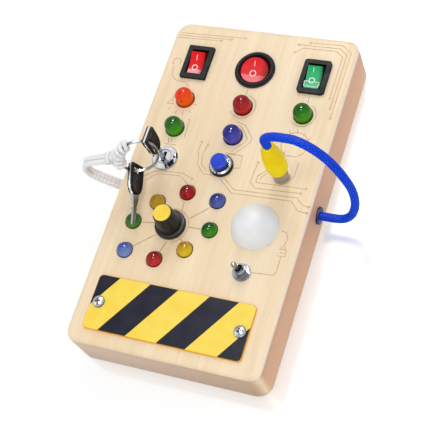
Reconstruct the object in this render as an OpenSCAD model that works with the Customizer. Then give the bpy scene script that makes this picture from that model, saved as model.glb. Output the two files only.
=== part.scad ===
// Wooden busy board: a hollow wooden board with switches, lamps, a selector, a lock with keys,
// a plug on a cord and a striped plate. Millimetres. Origin at the centre of the underside,
// +Y towards the rocker switches, +Z up.

/* [Board] */
// Width of the wooden board
board_w = 110; // [108:1:140]
// Length of the wooden board
board_l = 200; // [196:1:260]
// Height of the wooden board
board_h = 26; // [25:0.5:34]
// Corner radius seen from above
corner_r = 8; // [5:0.5:12]
// Rounding of the top edge
top_edge_r = 2.5; // [1:0.5:4]
// Rounding of the bottom edge
bottom_edge_r = 1.5; // [0.5:0.5:3]
// Thickness of the side walls
side_wall = 8; // [7:0.2:10]
// Thickness of the wood under the controls
top_wall = 4.7; // [3.5:0.1:6]

/* [Back] */
// Thickness of the back panel
panel_t = 3; // [2:0.2:4]
// Width of the ledge that the back panel rests on
panel_ledge = 3.5; // [3:0.1:4.5]
// Distance of the back screws from the board's sides
back_screw_inset = 11; // [10.5:0.5:13]
// Length of the battery tray
tray_l = 62; // [60:1:66]
// Width of the battery tray
tray_w = 25.5; // [25.5:0.5:30]
// Distance from the front side to the middle of the battery tray
tray_inset = 30; // [28:1:36]

/* [Controls: places] */
// Distance of the outer columns from the board's sides
column_inset = 20; // [19:0.5:24]
// Distance of the rocker switches from the far side
rocker_inset = 26.5; // [24:0.5:30]
// Distance of the first row of large lamps from the far side
row1_inset = 50; // [48:0.5:54]
// Distance of the second row of large lamps from the far side
row2_inset = 68.7; // [66:0.1:72]
// Distance of the lock, button and socket from the far side
row3_inset = 88.4; // [86:0.1:92]
// Distance of the selector from the left side
selector_inset_x = 37.6; // [36:0.1:40]
// Distance of the selector from the near side
selector_inset_y = 73.5; // [72:0.1:76]
// Distance of the half-round lamp from the right side
lamp_inset_x = 26.5; // [24:0.5:28]
// Distance of the half-round lamp from the near side
lamp_inset_y = 81; // [79:0.5:84]
// Distance of the toggle switch from the right side
toggle_inset_x = 25.9; // [24:0.1:28]
// Distance of the toggle switch from the near side
toggle_inset_y = 54.9; // [54:0.1:57]

/* [Rocker switches] */
// Width of a rectangular rocker's bezel
bezel_w = 15.5; // [15:0.1:18]
// Length of a rectangular rocker's bezel
bezel_l = 21; // [20:0.1:24]
// Height of the bezels above the wood
bezel_h = 2; // [1.5:0.1:2.6]
// Radius of the round rocker's bezel
round_bezel_r = 11.5; // [11.2:0.1:13]
// Tilt of a rocker cap to each side, degrees
rocker_tilt = 13; // [10:1:14]
// Depth of the switch housings below the wood's face
housing_depth = 14.5; // [13:0.5:17]

/* [Lamps] */
// Radius of the large lamps
led_r = 5; // [4:0.1:6]
// Radius of the small lamps
small_led_r = 4.2; // [3.5:0.1:4.5]
// Radius of the half-round lamp
dome_r = 13.35; // [12:0.05:14]

/* [Selector] */
// Radius of the knob's flange
knob_flange_r = 8.5; // [8:0.1:10]
// Radius of the knob's body at its foot
knob_body_r = 6.75; // [6.5:0.05:7.5]
// Height of the knob above the wood
knob_h = 15.5; // [14:0.5:18]
// Radius of the selector's shaft
shaft_r = 3; // [2.5:0.1:3.2]

/* [Lock and keys] */
// Radius of the lock's rosette
lock_r = 7.5; // [7.1:0.1:9]
// Radius of the turning rotor
rotor_r = 4; // [3.8:0.1:4.4]
// Width of a key's head
key_head_w = 10.6; // [10:0.1:12]
// Length of a key's head
key_head_l = 19; // [18.5:0.5:20]
// Thickness of a key's head
key_head_t = 2.6; // [2.4:0.1:2.8]
// Width of a key's blade
key_blade_w = 6; // [5:0.1:6.4]
// Thickness of a key's blade
key_blade_t = 1.8; // [1.2:0.1:2.2]
// Length of a key's blade below the head
key_blade_l = 16; // [15:0.5:18]
// Mean radius of the key ring
ring_r = 10.56; // [10:0.02:11]
// Radius of the key ring's wire
ring_wire_r = 0.5; // [0.4:0.05:0.5]

/* [Push button] */
// Radius of the button's bezel
button_bezel_r = 6.6; // [6.6:0.1:8]
// Radius of the button's cap
button_cap_r = 4.6; // [4:0.05:4.9]
// Height of the button's cap above the wood
button_cap_h = 7; // [6.8:0.1:9]
// Travel of the button
button_travel = 3; // [2:0.5:3]

/* [Toggle switch] */
// Height of the bushing above the wood
bushing_h = 5.5; // [5:0.1:6.5]
// Lean of the lever from upright, degrees
toggle_lean = 12; // [8:1:14]

/* [Plug and cord] */
// Largest radius of the plug's shell
plug_r = 5.9; // [5.6:0.1:7]
// Radius of the plug's pin
pin_r = 2; // [1.5:0.1:2.4]
// Diameter of the blue cord
cord_d = 4.7; // [4:0.1:5]
// Height of the cord's grommet above the underside
grommet_z = 11.7; // [10:0.1:13]
// Place of the grommet along the board, from its middle
grommet_y = -0.5; // [-3:0.5:3]
// Diameter of the white tether cord
tether_d = 2.9; // [2:0.1:3]
// Height of the tether's hole above the underside
tether_z = 13; // [11:0.5:15]
// Place of the tether's hole along the board, from its middle
tether_y = -3; // [-5:0.5:1]

/* [Striped plate] */
// Length of the plate
plate_l = 89.5; // [80:0.5:92]
// Width of the plate
plate_w = 30.5; // [26:0.5:31]
// Thickness of the plate
plate_t = 1.5; // [1:0.1:2.5]
// Distance from the near side to the middle of the plate
plate_inset = 23.6; // [22:0.1:25]
// Distance of a plate screw from the plate's end
plate_screw_inset = 4.7; // [4.2:0.1:6]

/* [Fits] */
// Clearance between a fixed piece and its hole
fixed_gap = 0.2; // [0.1:0.05:0.3]
// Radial clearance of a turning or sliding piece
running_gap = 0.06; // [0.03:0.01:0.1]
// Clearance between a lamp and its hole
led_gap = 0.6; // [0.5:0.05:0.8]

/* [Hidden] */
$fn = 64;
e = 0.01;
face_z = board_h;
under_z = board_h - top_wall;
half_w = board_w / 2;
half_l = board_l / 2;
cavity_w = board_w - 2 * side_wall;
cavity_l = board_l - 2 * side_wall;

right_x = half_w - column_inset;
left_x = -right_x;
rocker_y = half_l - rocker_inset;
row1_y = half_l - row1_inset;
row2_y = half_l - row2_inset;
row3_y = half_l - row3_inset;
selector_x = -half_w + selector_inset_x;
selector_y = -half_l + selector_inset_y;
lamp_x = half_w - lamp_inset_x;
lamp_y = -half_l + lamp_inset_y;
toggle_x = half_w - toggle_inset_x;
toggle_y = -half_l + toggle_inset_y;
lock_x = left_x + 1;
button_x = -0.6;
button_y = row3_y + 0.8;
socket_x = right_x - 0.6;
plate_x = -1.5;
plate_y = -half_l + plate_inset;
tray_y = -half_l + tray_inset;

// Small lamps: half of the oval ring, the other half is its mirror image through the middle
half_ring = [[2.8, 20.4], [21, 18.4], [22, 1.3], [12.1, -12]];
half_ring_colors = ["red", "royalblue", "green", "gold"];
other_ring_colors = ["red", "lightblue", "green", "orange"];

// Circuit board
pcb_t = 1.6;
pcb_z = under_z - pcb_t;
pcb_side_gap = 8;
pcb_w = cavity_w - 2 * pcb_side_gap;
pcb_y0 = selector_y - 27;
pcb_y1 = row1_y + 7;
pcb_screw_x = 20;
pcb_screw_low_x = 12;
pcb_screw_r = 0.9;

// Lamp details
led_dome_z = 3;
small_led_dome_z = 0.2;
led_flange = 0.5;
led_flange_h = 1;
lead_r = 0.25;
lead_pitch = 2.54;
lead_len = 2.4;
lead_hole_r = 0.45;
dome_sink = 2;
dome_wall = 1.6;
dome_collar_r = 11.6;
lamp_led_r = 2.5;

// Rocker details
opening_w = 10.4;
opening_l = 15.8;
housing_w = 12.7;
housing_l = 18.9;
round_housing_r = 9.9;
round_opening_r = 8.9;
round_cap_r = 8.6;
pocket_depth = 8.5;
pivot_drop = 2;
pin_rr = 1;
cap_half_l = 6.4;
cap_top = 5;
cap_sag = 1.4;
cap_low = 3.5;
cap_cut_r = (cap_half_l * cap_half_l + cap_sag * cap_sag) / (2 * cap_sag);
cap_base_w = 9.8;
cap_top_w = 8.2;
tab_w = 4.8;
tab_t = 0.8;
tab_l = 5;

// Back screws
screw_r = 1.15;
screw_head_r = 3;
boss_r = 4.5;
boss_top = panel_t + 13;
mid_screw_inset = 62;

// Battery tray and cells
tray_wall = 1.2;
tray_low = 1.6;
tray_h = 12.2;
tray_flange = 3;
cell_r = 5.25;
cell_l = 44.5;
cell_z = tray_low + 5.7;
cell_pitch = 2 * cell_r + 0.5;
cell_x = -3.7;
contact_t = 0.4;
contact_gap = 0.25;
cell_spring_l = 3;
cover_t = 1.5;
cover_gap = 0.3;
cover_screw_x = tray_l / 2 - 5;
cover_screw_r = 0.9;
cover_screw_head_r = 2.1;

// Selector details
bushing_r = 3.5;
selector_body_r = 8.2;
selector_body_h = 9;
selector_nut_r = 5.2;
selector_nut_h = 2;
knob_lift = 0.4;
knob_flange_t = 2.5;
knob_top_r = 5.35;
knob_skirt_depth = 3.4;
insert_r = 4.7;
insert_t = 1.2;

// Lock details
lock_body_r = 5.9;
lock_depth = 15;
nut_r = 8.5;
nut_h = 3;
lock_face = 3;
key_shoulder_z = face_z + 11.5;
key_lean = 1.5;
key_hole = [-3.2, 13.8];
key_hole_w = 6.2;
key_hole_l = 8.4;
slot_gap = 0.08;

// Key ring: centre from the lock's foot at the wood's face, and its normal
ring_from_lock = [-5.6, -10.1, 19.7];
ring_normal = [0.49, -0.83, 0.26];
ring_turn_gap = 0.5;
knot_dir = [-0.72, -0.22, 0.63];
key2_from_lock = [-9.2, -16.2, 11.5];
key2_turn = [-84.5, -18, 13];

// Button details
button_barrel_r = 5.9;
button_bezel_h = 3.2;
button_depth = 12;
button_floor = 1.5;
button_foot_z = face_z - 4;
spring_wire_r = 0.35;
spring_r = 2.6;
spring_turns = 4;

// Toggle details
toggle_bushing_r = 3;
toggle_bore_r = 2.25;
toggle_ball_r = 2.05;
toggle_pin_r = 0.6;
toggle_pivot_z = face_z + 2;
toggle_body_l = 13;
toggle_body_w = 8;
toggle_body_h = 9.5;
toggle_nut_r = 4.95;
toggle_nut_h = 2;
lever_r0 = 0.95;
lever_r1 = 1.5;
lever_l = 8.2;

// Socket and plug details
socket_barrel_r = 3.9;
socket_nut_r = 4.6;
socket_nut_h = 2.4;
socket_depth = 17;
socket_top = 2.6;
plug_sleeve_z = 2.9;
plug_sleeve_r = 4.4;
plug_shell_z = 9.2;
plug_top_z = 33.9;
pin_l = 14;
// Height above the wood and how far inside the largest radius the plug's shell lies
plug_profile = [
  [plug_shell_z, 1], [9.8, 0.6], [12.5, 0.1], [16, 0], [20, 0.15], [24, 0.5], [28, 1.15], [31, 1.9], [33, 2.4],
  [plug_top_z, 3.1]
];

// Plate and its screws
plate_corner_r = 2.5;
plate_screw_r = 1.2;
plate_screw_head_r = 3.25;
plate_screw_dome = 1.1;

// Grommet and tether hole
grommet_neck_r = 3.6;
grommet_lip_r = 4.75;
grommet_lip_t = 1.2;
tether_hole_r = 3.3;

// Blue cord: points from the plug's top to the inside of the grommet, x and z as they lie
cord_route = [
  [34.4, 11.6, 59.9], [34.4, 11.6, 61.3], [33.9, 11.8, 64.6], [34.9, 12, 67.2], [37.6, 12, 69.2],
  [41.2, 12, 70.4], [46.2, 11.5, 71.5], [51.5, 11, 72], [57, 10, 70.9], [62.5, 9, 67.5],
  [67.5, 8, 62], [71.8, 6.5, 55.8], [75.2, 5, 49], [77.2, 4, 41.6], [77.7, 3, 33],
  [76.6, 2, 24.4], [73.6, 1, 16.4], [69.4, 0, 12.4], [64, -0.5, 11.7], [58, -0.5, 11.7],
  [49, -0.5, 11.7]
];

// White tether: middle line of the doubled cord, from inside the board's side to the key ring
tether_route = [
  [-49, -3, 13], [-58, -3, 13.2], [-62.8, -3, 15.3], [-66.8, -3, 17.6], [-71.5, -3, 20.6],
  [-75.4, -3, 24.2], [-76.6, -3, 29], [-75.4, -3, 34], [-72.6, -3, 37.6], [-68.4, -3, 40.2],
  [-61, -3.2, 44.3], [-55.6, -3.4, 47.6], [-52, -3.5, 50]
];
tether_side = [0, 1.42, 0.57];
loop_reach = 3.1;
loop_shoulder = 2.15;
loop_run = 1.6;

function unit(v) = v / norm(v);
function rows(v) = [for (i = [len(v) - 1:-1:0]) v[i]];
lock_foot = [lock_x, row3_y, face_z];
ring_center = lock_foot + ring_from_lock;
ring_n = unit(ring_normal);
knot_r = unit(knot_dir - ring_n * (knot_dir * ring_n));
knot_t = cross(ring_n, knot_r);
knot = ring_center + ring_r * knot_r;
tether_loop = [
  knot + loop_reach * ring_n + loop_run * knot_t,
  knot + loop_reach * ring_n,
  knot + loop_shoulder * ring_n + loop_shoulder * knot_r,
  knot + loop_reach * knot_r,
  knot - loop_shoulder * ring_n + loop_shoulder * knot_r,
  knot - loop_reach * ring_n,
  knot - loop_reach * ring_n + loop_run * knot_t
];
tether_points = concat(
  [for (p = tether_route) p - tether_side],
  tether_loop,
  [for (p = rows(tether_route)) p + tether_side]
);

// ---------- shared shapes ----------

// Rectangle with round corners, as plain squares and circles
module round_rect(w, l, r) {
  square([w - 2 * r, l], center = true);
  square([w, l - 2 * r], center = true);
  for (sx = [-1, 1], sy = [-1, 1]) {
    translate([sx * (w / 2 - r), sy * (l / 2 - r)]) circle(r);
  }
}

// Section of the board: a bar with round edges, standing on y = 0
module edge_section(w) {
  translate([-w / 2, bottom_edge_r]) square([w, board_h - top_edge_r - bottom_edge_r]);
  translate([-w / 2 + top_edge_r, 0]) square([w - 2 * top_edge_r, board_h]);
  for (s = [-1, 1]) {
    translate([s * (w / 2 - top_edge_r), board_h - top_edge_r]) circle(top_edge_r);
    translate([s * (w / 2 - bottom_edge_r), bottom_edge_r]) circle(bottom_edge_r);
  }
}

// Turns a half profile (x = radius, y = height) about Z
module turned() {
  rotate_extrude() intersection() {
    children();
    translate([0, -100]) square([100, 200]);
  }
}

// Places its children at the four corner screws and the two middle ones
module at_back_screws() {
  for (sx = [-1, 1], y = [-half_l + back_screw_inset, half_l - mid_screw_inset, half_l - back_screw_inset]) {
    translate([sx * (half_w - back_screw_inset), y, 0]) children();
  }
}

// Hexagon nut with a round hole, standing on z = 0
module hex_nut(r, h, bore) {
  difference() {
    cylinder(r = r, h = h, $fn = 6);
    translate([0, 0, -1]) cylinder(r = bore, h = h + 2);
  }
}

// Ring of points round a route point, square to the route
function route_dir(p, i) = unit(p[min(i + 1, len(p) - 1)] - p[max(i - 1, 0)]);
function ring_points(c, t, side, r, n) =
  let (u = unit(cross(side, t)), v = cross(t, u))
  [for (k = [0:n - 1]) c + r * (cos(360 * k / n) * u + sin(360 * k / n) * v)];

// Tube swept along a route; side is a direction that the route never takes
module tube(route, r, sides, side) {
  n = len(route);
  points = [for (i = [0:n - 1]) each ring_points(route[i], route_dir(route, i), side, r, sides)];
  walls = [for (i = [0:n - 2], k = [0:sides - 1]) each [
    [i * sides + k, (i + 1) * sides + k, i * sides + (k + 1) % sides],
    [i * sides + (k + 1) % sides, (i + 1) * sides + k, (i + 1) * sides + (k + 1) % sides]
  ]];
  first = [for (k = [0:sides - 1]) k];
  last = [for (k = [sides - 1:-1:0]) (n - 1) * sides + k];
  polyhedron(points = points, faces = concat(walls, [first, last]));
}

// Coil spring along +Z from z = 0
module coil(r, wire_r, height, turns) {
  steps = 14;
  route = [for (i = [0:turns * steps])
    [r * cos(360 * i / steps), r * sin(360 * i / steps), wire_r + (height - 2 * wire_r) * i / (turns * steps)]];
  tube(route, wire_r, 6, [0, 0, 1]);
}

// ---------- board and back ----------

module board_block() {
  flat_w = board_w - 2 * corner_r;
  flat_l = board_l - 2 * corner_r;
  rotate([90, 0, 90]) linear_extrude(flat_w, center = true) edge_section(board_l);
  rotate([90, 0, 0]) linear_extrude(flat_l, center = true) edge_section(board_w);
  for (sx = [-1, 1], sy = [-1, 1]) {
    translate([sx * flat_w / 2, sy * flat_l / 2, 0]) turned() edge_section(2 * corner_r);
  }
}

// Hole through the wood under a control
module face_hole(x, y, r) {
  translate([x, y, under_z - 1]) cylinder(r = r, h = top_wall + 2);
}

module small_led_holes() {
  for (s = [-1, 1], p = half_ring) {
    face_hole(selector_x + s * p[0], selector_y + s * p[1], small_led_r + led_flange);
  }
}

module plate_screw_places() {
  for (s = [-1, 1]) {
    translate([plate_x + s * (plate_l / 2 - plate_screw_inset), plate_y, 0]) children();
  }
}

module wooden_body() {
  color("burlywood") difference() {
    board_block();
    // cavity, with posts for the back screws left standing
    difference() {
      translate([0, 0, panel_t]) linear_extrude(under_z - panel_t) round_rect(cavity_w, cavity_l, 3);
      at_back_screws() cylinder(r = boss_r, h = board_h);
    }
    translate([0, 0, -1]) linear_extrude(panel_t + 1)
      round_rect(cavity_w + 2 * panel_ledge, cavity_l + 2 * panel_ledge, 4);
    at_back_screws() cylinder(r = screw_r + 0.02, h = boss_top);
    // rockers
    for (x = [left_x, right_x]) {
      translate([x, rocker_y, under_z - 1]) linear_extrude(top_wall + 2)
        square([housing_w + 2 * fixed_gap, housing_l + 2 * fixed_gap], center = true);
    }
    face_hole(0, rocker_y, round_housing_r + fixed_gap);
    // lamps
    for (x = [left_x, 0, right_x]) {
      face_hole(x, row1_y, led_r + led_gap);
    }
    for (x = [left_x, 0]) {
      face_hole(x, row2_y, led_r + led_gap);
    }
    small_led_holes();
    face_hole(lamp_x, lamp_y, dome_collar_r + fixed_gap);
    // lock, button, socket, selector, toggle
    face_hole(lock_x, row3_y, lock_body_r + fixed_gap);
    face_hole(button_x, button_y, button_barrel_r + fixed_gap);
    face_hole(socket_x, row3_y, socket_barrel_r + fixed_gap);
    face_hole(selector_x, selector_y, bushing_r + fixed_gap);
    face_hole(toggle_x, toggle_y, toggle_bushing_r + fixed_gap);
    plate_screw_places() translate([0, 0, face_z - 4]) cylinder(r = plate_screw_r + 0.02, h = 5);
    for (x = [-pcb_screw_x, pcb_screw_x], y = [pcb_y1 - 3]) {
      translate([x, y, under_z - 1]) cylinder(r = pcb_screw_r + 0.02, h = 3.6);
    }
    for (x = [-pcb_w / 2 + 3, pcb_screw_low_x], y = [pcb_y0 + 3]) {
      translate([x, y, under_z - 1]) cylinder(r = pcb_screw_r + 0.02, h = 3.6);
    }
    // grommet and tether
    translate([half_w - side_wall - 1, grommet_y, grommet_z]) rotate([0, 90, 0])
      cylinder(r = grommet_neck_r + e, h = side_wall + 2);
    translate([-half_w - 1, tether_y, tether_z]) rotate([0, 90, 0])
      cylinder(r = tether_hole_r, h = side_wall + 2);
  }
}

module tray_opening(gap) {
  translate([0, tray_y]) round_rect(tray_l + 2 * gap, tray_w + 2 * gap, 2);
}

module back_panel() {
  gap = cover_gap;
  color("tan") difference() {
    linear_extrude(panel_t)
      round_rect(cavity_w + 2 * panel_ledge - 2 * gap, cavity_l + 2 * panel_ledge - 2 * gap, 3.7);
    translate([0, 0, -1]) linear_extrude(panel_t + 2) tray_opening(cover_gap);
    at_back_screws() {
      translate([0, 0, -1]) cylinder(r = screw_r + 0.5, h = panel_t + 2);
      translate([0, 0, -e]) cylinder(r1 = screw_head_r + 0.2, r2 = screw_r + 0.5, h = 1.9);
    }
  }
}

// Countersunk screw pointing up, with a cross recess in its head at z = 0.2
module countersunk_screw(head_r, r, l) {
  head_h = 1.6;
  difference() {
    union() {
      translate([0, 0, 0.2]) cylinder(r1 = head_r, r2 = r, h = head_h);
      translate([0, 0, 0.2 + head_h - e]) cylinder(r = r, h = l);
    }
    for (a = [0, 90]) {
      rotate(a) translate([-head_r * 0.6, -0.3, -1]) cube([head_r * 1.2, 0.6, 1.9]);
    }
  }
}

// Six screws of the back panel and the small one of the battery cover
module back_screws() {
  color("silver") {
    at_back_screws() countersunk_screw(screw_head_r, screw_r, 12);
    translate([cover_screw_x, tray_y, 0]) countersunk_screw(cover_screw_head_r, cover_screw_r, 5);
  }
}

module battery_tray() {
  inner_l = tray_l - 2 * tray_wall;
  inner_w = tray_w - 2 * tray_wall;
  color("dimgray") difference() {
    union() {
      translate([0, 0, tray_low]) linear_extrude(tray_h) tray_opening(0);
      translate([0, 0, panel_t]) linear_extrude(tray_wall) tray_opening(tray_flange);
    }
    difference() {
      translate([0, 0, tray_low - 1]) linear_extrude(tray_h - tray_wall + 1)
        translate([0, tray_y]) square([inner_l, inner_w], center = true);
      translate([cover_screw_x, tray_y, tray_low + 0.3]) cylinder(r = 2.6, h = tray_h - 1);
    }
    translate([cover_screw_x, tray_y, tray_low - e]) cylinder(r = cover_screw_r + 0.02, h = 7);
  }
}

module at_cells() {
  for (s = [-1, 1]) {
    translate([cell_x, tray_y + s * cell_pitch / 2, cell_z]) rotate([0, 0, s > 0 ? 0 : 180]) children();
  }
}

module batteries() {
  tip = 1;
  color("darkgreen") at_cells() rotate([0, 90, 0]) {
    translate([0, 0, -cell_l / 2]) cylinder(r = cell_r, h = cell_l - tip);
    translate([0, 0, cell_l / 2 - tip - e]) cylinder(r = 1.9, h = tip + e);
  }
}

module battery_contacts() {
  plate = 8;
  end_x = cell_l / 2 + contact_gap;
  color("silver") at_cells() {
    translate([end_x, -plate / 2, -plate / 2]) cube([contact_t, plate, plate]);
    translate([-end_x - cell_spring_l - contact_t, -plate / 2, -plate / 2]) cube([contact_t, plate, plate]);
    translate([-end_x - cell_spring_l, 0, 0]) rotate([0, 90, 0]) difference() {
      cylinder(r1 = 3.4, r2 = 2, h = cell_spring_l);
      translate([0, 0, -1]) cylinder(r = 1.3, h = cell_spring_l + 2);
    }
  }
}

module battery_cover() {
  color("dimgray") difference() {
    linear_extrude(cover_t) tray_opening(0);
    translate([cover_screw_x, tray_y, -1]) cylinder(r = cover_screw_r + 0.3, h = cover_t + 2);
    translate([cover_screw_x, tray_y, -e]) cylinder(r1 = cover_screw_head_r + 0.4, r2 = cover_screw_r + 0.1, h = 2);
    for (i = [0:3]) {
      translate([-tray_l / 2 + 5 + i * 2.4, tray_y - 6, -e]) cube([1, 12, 0.5]);
    }
  }
}

module battery_leads() {
  lead_x = -tray_l / 2;
  color("firebrick") for (s = [-1, 1]) {
    tube([
      [lead_x - 0.05, tray_y + s * 4, 9], [lead_x - 3, tray_y + s * 4, 9], [lead_x - 4.5, tray_y + 4 + s * 4, 11],
      [lead_x - 3.5, tray_y + 9 + s * 3, 14], [lead_x - 1, pcb_y0 + 2 + s * 1.5, 17],
      [lead_x + 2, pcb_y0 + 4 + s * 1.5, pcb_z - 2], [lead_x + 2.5, pcb_y0 + 4.3 + s * 1.5, pcb_z - 1],
      [lead_x + 2.5, pcb_y0 + 4.3 + s * 1.5, pcb_z - 0.1]
    ], 0.6, 6, [1, -0.3, 0]);
  }
}

// ---------- circuit board and lamps ----------

module at_leads() {
  for (s = [-1, 1]) {
    translate([s * lead_pitch / 2, 0, 0]) children();
  }
}

module at_all_leds() {
  for (x = [left_x, 0, right_x]) {
    translate([x, row1_y, 0]) children();
  }
  for (x = [left_x, 0]) {
    translate([x, row2_y, 0]) children();
  }
  for (s = [-1, 1], p = half_ring) {
    translate([selector_x + s * p[0], selector_y + s * p[1], 0]) children();
  }
  translate([lamp_x, lamp_y, 0]) children();
}

module circuit_board() {
  color("seagreen") difference() {
    translate([-pcb_w / 2, pcb_y0, pcb_z]) cube([pcb_w, pcb_y1 - pcb_y0, pcb_t]);
    at_all_leds() at_leads() translate([0, 0, pcb_z - 1]) cylinder(r = lead_hole_r, h = pcb_t + 2, $fn = 24);
    translate([0, 0, pcb_z - 1]) {
      translate([lock_x, row3_y, 0]) cylinder(r = nut_r + 0.5, h = pcb_t + 2);
      translate([button_x, button_y, 0]) cylinder(r = nut_r + 0.5, h = pcb_t + 2);
      translate([socket_x, row3_y, 0]) cylinder(r = socket_nut_r + 1, h = pcb_t + 2);
      translate([selector_x, selector_y, 0]) cylinder(r = selector_body_r + 0.5, h = pcb_t + 2);
      translate([toggle_x, toggle_y, pcb_t / 2 + 1])
        cube([toggle_body_l + 1, toggle_body_w + 1, pcb_t + 2], center = true);
    }
    at_board_screws() translate([0, 0, pcb_z - 1]) cylinder(r = pcb_screw_r + 0.2, h = pcb_t + 2, $fn = 32);
  }
}

module at_board_screws() {
  for (x = [-pcb_screw_x, pcb_screw_x]) {
    translate([x, pcb_y1 - 3, 0]) children();
  }
  for (x = [-pcb_w / 2 + 3, pcb_screw_low_x]) {
    translate([x, pcb_y0 + 3, 0]) children();
  }
}

module board_screws() {
  color("silver") at_board_screws() {
    translate([0, 0, pcb_z - 1.2]) cylinder(r = 1.8, h = 1.2, $fn = 32);
    translate([0, 0, pcb_z - e]) cylinder(r = pcb_screw_r, h = pcb_t + 2.4, $fn = 32);
  }
}

// Lamp standing on the circuit board; dome_z is the dome's centre above the wood
module led(x, y, r, dome_z, tint) {
  foot = face_z - under_z;
  color(tint) translate([x, y, under_z]) {
    turned() {
      translate([0, 0]) square([r, foot + dome_z]);
      translate([0, foot + dome_z]) circle(r);
      square([r + led_flange - 0.1, led_flange_h]);
    }
    at_leads() translate([0, 0, -lead_len]) cylinder(r = lead_r, h = lead_len + e, $fn = 16);
  }
}

module large_led(x, y, tint) {
  led(x, y, led_r, led_dome_z, tint);
}

// Lamp number n of the ring: 0 to 3 on one half, 4 to 7 opposite
module ring_led(n) {
  p = half_ring[n % 4];
  s = n < 4 ? 1 : -1;
  tint = n < 4 ? half_ring_colors[n] : other_ring_colors[n - 4];
  led(selector_x + s * p[0], selector_y + s * p[1], small_led_r, small_led_dome_z, tint);
}

module led_orange() { large_led(left_x, row1_y, "orangered"); }
module led_red() { large_led(0, row1_y, "red"); }
module led_green_right() { large_led(right_x, row1_y, "limegreen"); }
module led_green_left() { large_led(left_x, row2_y, "green"); }
module led_violet() { large_led(0, row2_y, "slateblue"); }

module lamp_dome() {
  cut_low = face_z - under_z - 0.3;
  color("white") translate([lamp_x, lamp_y, face_z]) difference() {
    turned() {
      difference() {
        translate([0, -dome_sink]) circle(dome_r, $fn = 96);
        translate([-50, -100]) square([100, 100]);
      }
      translate([0, -cut_low]) square([dome_collar_r, cut_low + e]);
    }
    turned() {
      difference() {
        translate([0, -dome_sink]) circle(dome_r - dome_wall, $fn = 96);
        translate([-50, -101]) square([100, 101]);
      }
      translate([0, -50]) square([dome_collar_r - dome_wall, 50 + e]);
    }
  }
}

module lamp_led() {
  color("lightyellow") translate([lamp_x, lamp_y, under_z]) {
    turned() {
      square([lamp_led_r, 3]);
      translate([0, 3]) circle(lamp_led_r);
      square([lamp_led_r + 0.4, 1]);
    }
    at_leads() translate([0, 0, -lead_len]) cylinder(r = lead_r, h = lead_len + e, $fn = 16);
  }
}

// ---------- striped plate ----------

module striped_plate() {
  lip = 0.3;
  color("gold") difference() {
    translate([plate_x, plate_y, face_z]) {
      linear_extrude(plate_t - lip) round_rect(plate_l, plate_w, plate_corner_r);
      linear_extrude(plate_t) round_rect(plate_l - 2 * lip, plate_w - 2 * lip, plate_corner_r - lip);
    }
    plate_screw_places() translate([0, 0, face_z - 1]) cylinder(r = plate_screw_r + 0.2, h = plate_t + 2);
  }
}

// Screws with a low round head and a cross recess
module plate_screws() {
  cap_r = (plate_screw_head_r * plate_screw_head_r + plate_screw_dome * plate_screw_dome) / (2 * plate_screw_dome);
  edge = 0.6;
  color("silver") plate_screw_places() translate([0, 0, face_z + plate_t]) difference() {
    union() {
      turned() {
        square([plate_screw_head_r, edge]);
        translate([0, edge]) intersection() {
          translate([0, plate_screw_dome - cap_r]) circle(cap_r, $fn = 96);
          square([plate_screw_head_r, plate_screw_dome]);
        }
      }
      translate([0, 0, -plate_t - 3.5]) cylinder(r = plate_screw_r, h = plate_t + 3.5 + e);
    }
    for (a = [20, 110]) {
      rotate(a) translate([-plate_screw_head_r * 0.55, -0.4, edge]) cube([plate_screw_head_r * 1.1, 0.8, 3]);
    }
  }
}

// ---------- rocker switches ----------

pivot_z = face_z - pivot_drop;

// Bezel, body and pocket of a rectangular switch; r rounds the bezel's corners
module rect_switch(x, r) {
  color([0.13, 0.13, 0.14]) translate([x, rocker_y, face_z]) difference() {
    union() {
      linear_extrude(bezel_h) round_rect(bezel_w, bezel_l, r);
      translate([-housing_w / 2, -housing_l / 2, -housing_depth]) cube([housing_w, housing_l, housing_depth + e]);
    }
    translate([-opening_w / 2, -opening_l / 2, -pocket_depth])
      cube([opening_w, opening_l, pocket_depth + bezel_h + 1]);
    translate([0, 0, -pivot_drop]) rotate([0, 90, 0])
      cylinder(r = pin_rr + running_gap, h = housing_w - 0.6, center = true);
  }
}

module rect_rocker_section() {
  difference() {
    polygon([
      [-cap_half_l + 0.9, -cap_low], [cap_half_l - 0.9, -cap_low], [cap_half_l + 0.9, 0], [cap_half_l + 0.9, 2],
      [cap_half_l, cap_top], [-cap_half_l, cap_top], [-cap_half_l - 0.9, 2], [-cap_half_l - 0.9, 0]
    ]);
    translate([0, cap_top - cap_sag + cap_cut_r]) circle(cap_cut_r, $fn = 128);
  }
}

// Cap that stands tilted, its far end up
module rect_rocker(x, tint) {
  color(tint) translate([x, rocker_y, pivot_z]) {
    rotate([rocker_tilt, 0, 0]) intersection() {
      rotate([90, 0, 90]) linear_extrude(20, center = true) rect_rocker_section();
      rotate([90, 0, 0]) linear_extrude(30, center = true) polygon([
        [-cap_base_w / 2, -cap_low - 1], [cap_base_w / 2, -cap_low - 1], [cap_base_w / 2, 1.6],
        [cap_top_w / 2, cap_top + 0.1], [-cap_top_w / 2, cap_top + 0.1], [-cap_base_w / 2, 1.6]
      ]);
    }
    rotate([0, 90, 0]) cylinder(r = pin_rr, h = housing_w - 1, center = true);
  }
}

module left_switch() { rect_switch(left_x, 0.6); }
module right_switch() { rect_switch(right_x, 1.8); }
module left_rocker() { rect_rocker(left_x, "red"); }
module right_rocker() { rect_rocker(right_x, "mediumseagreen"); }

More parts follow.
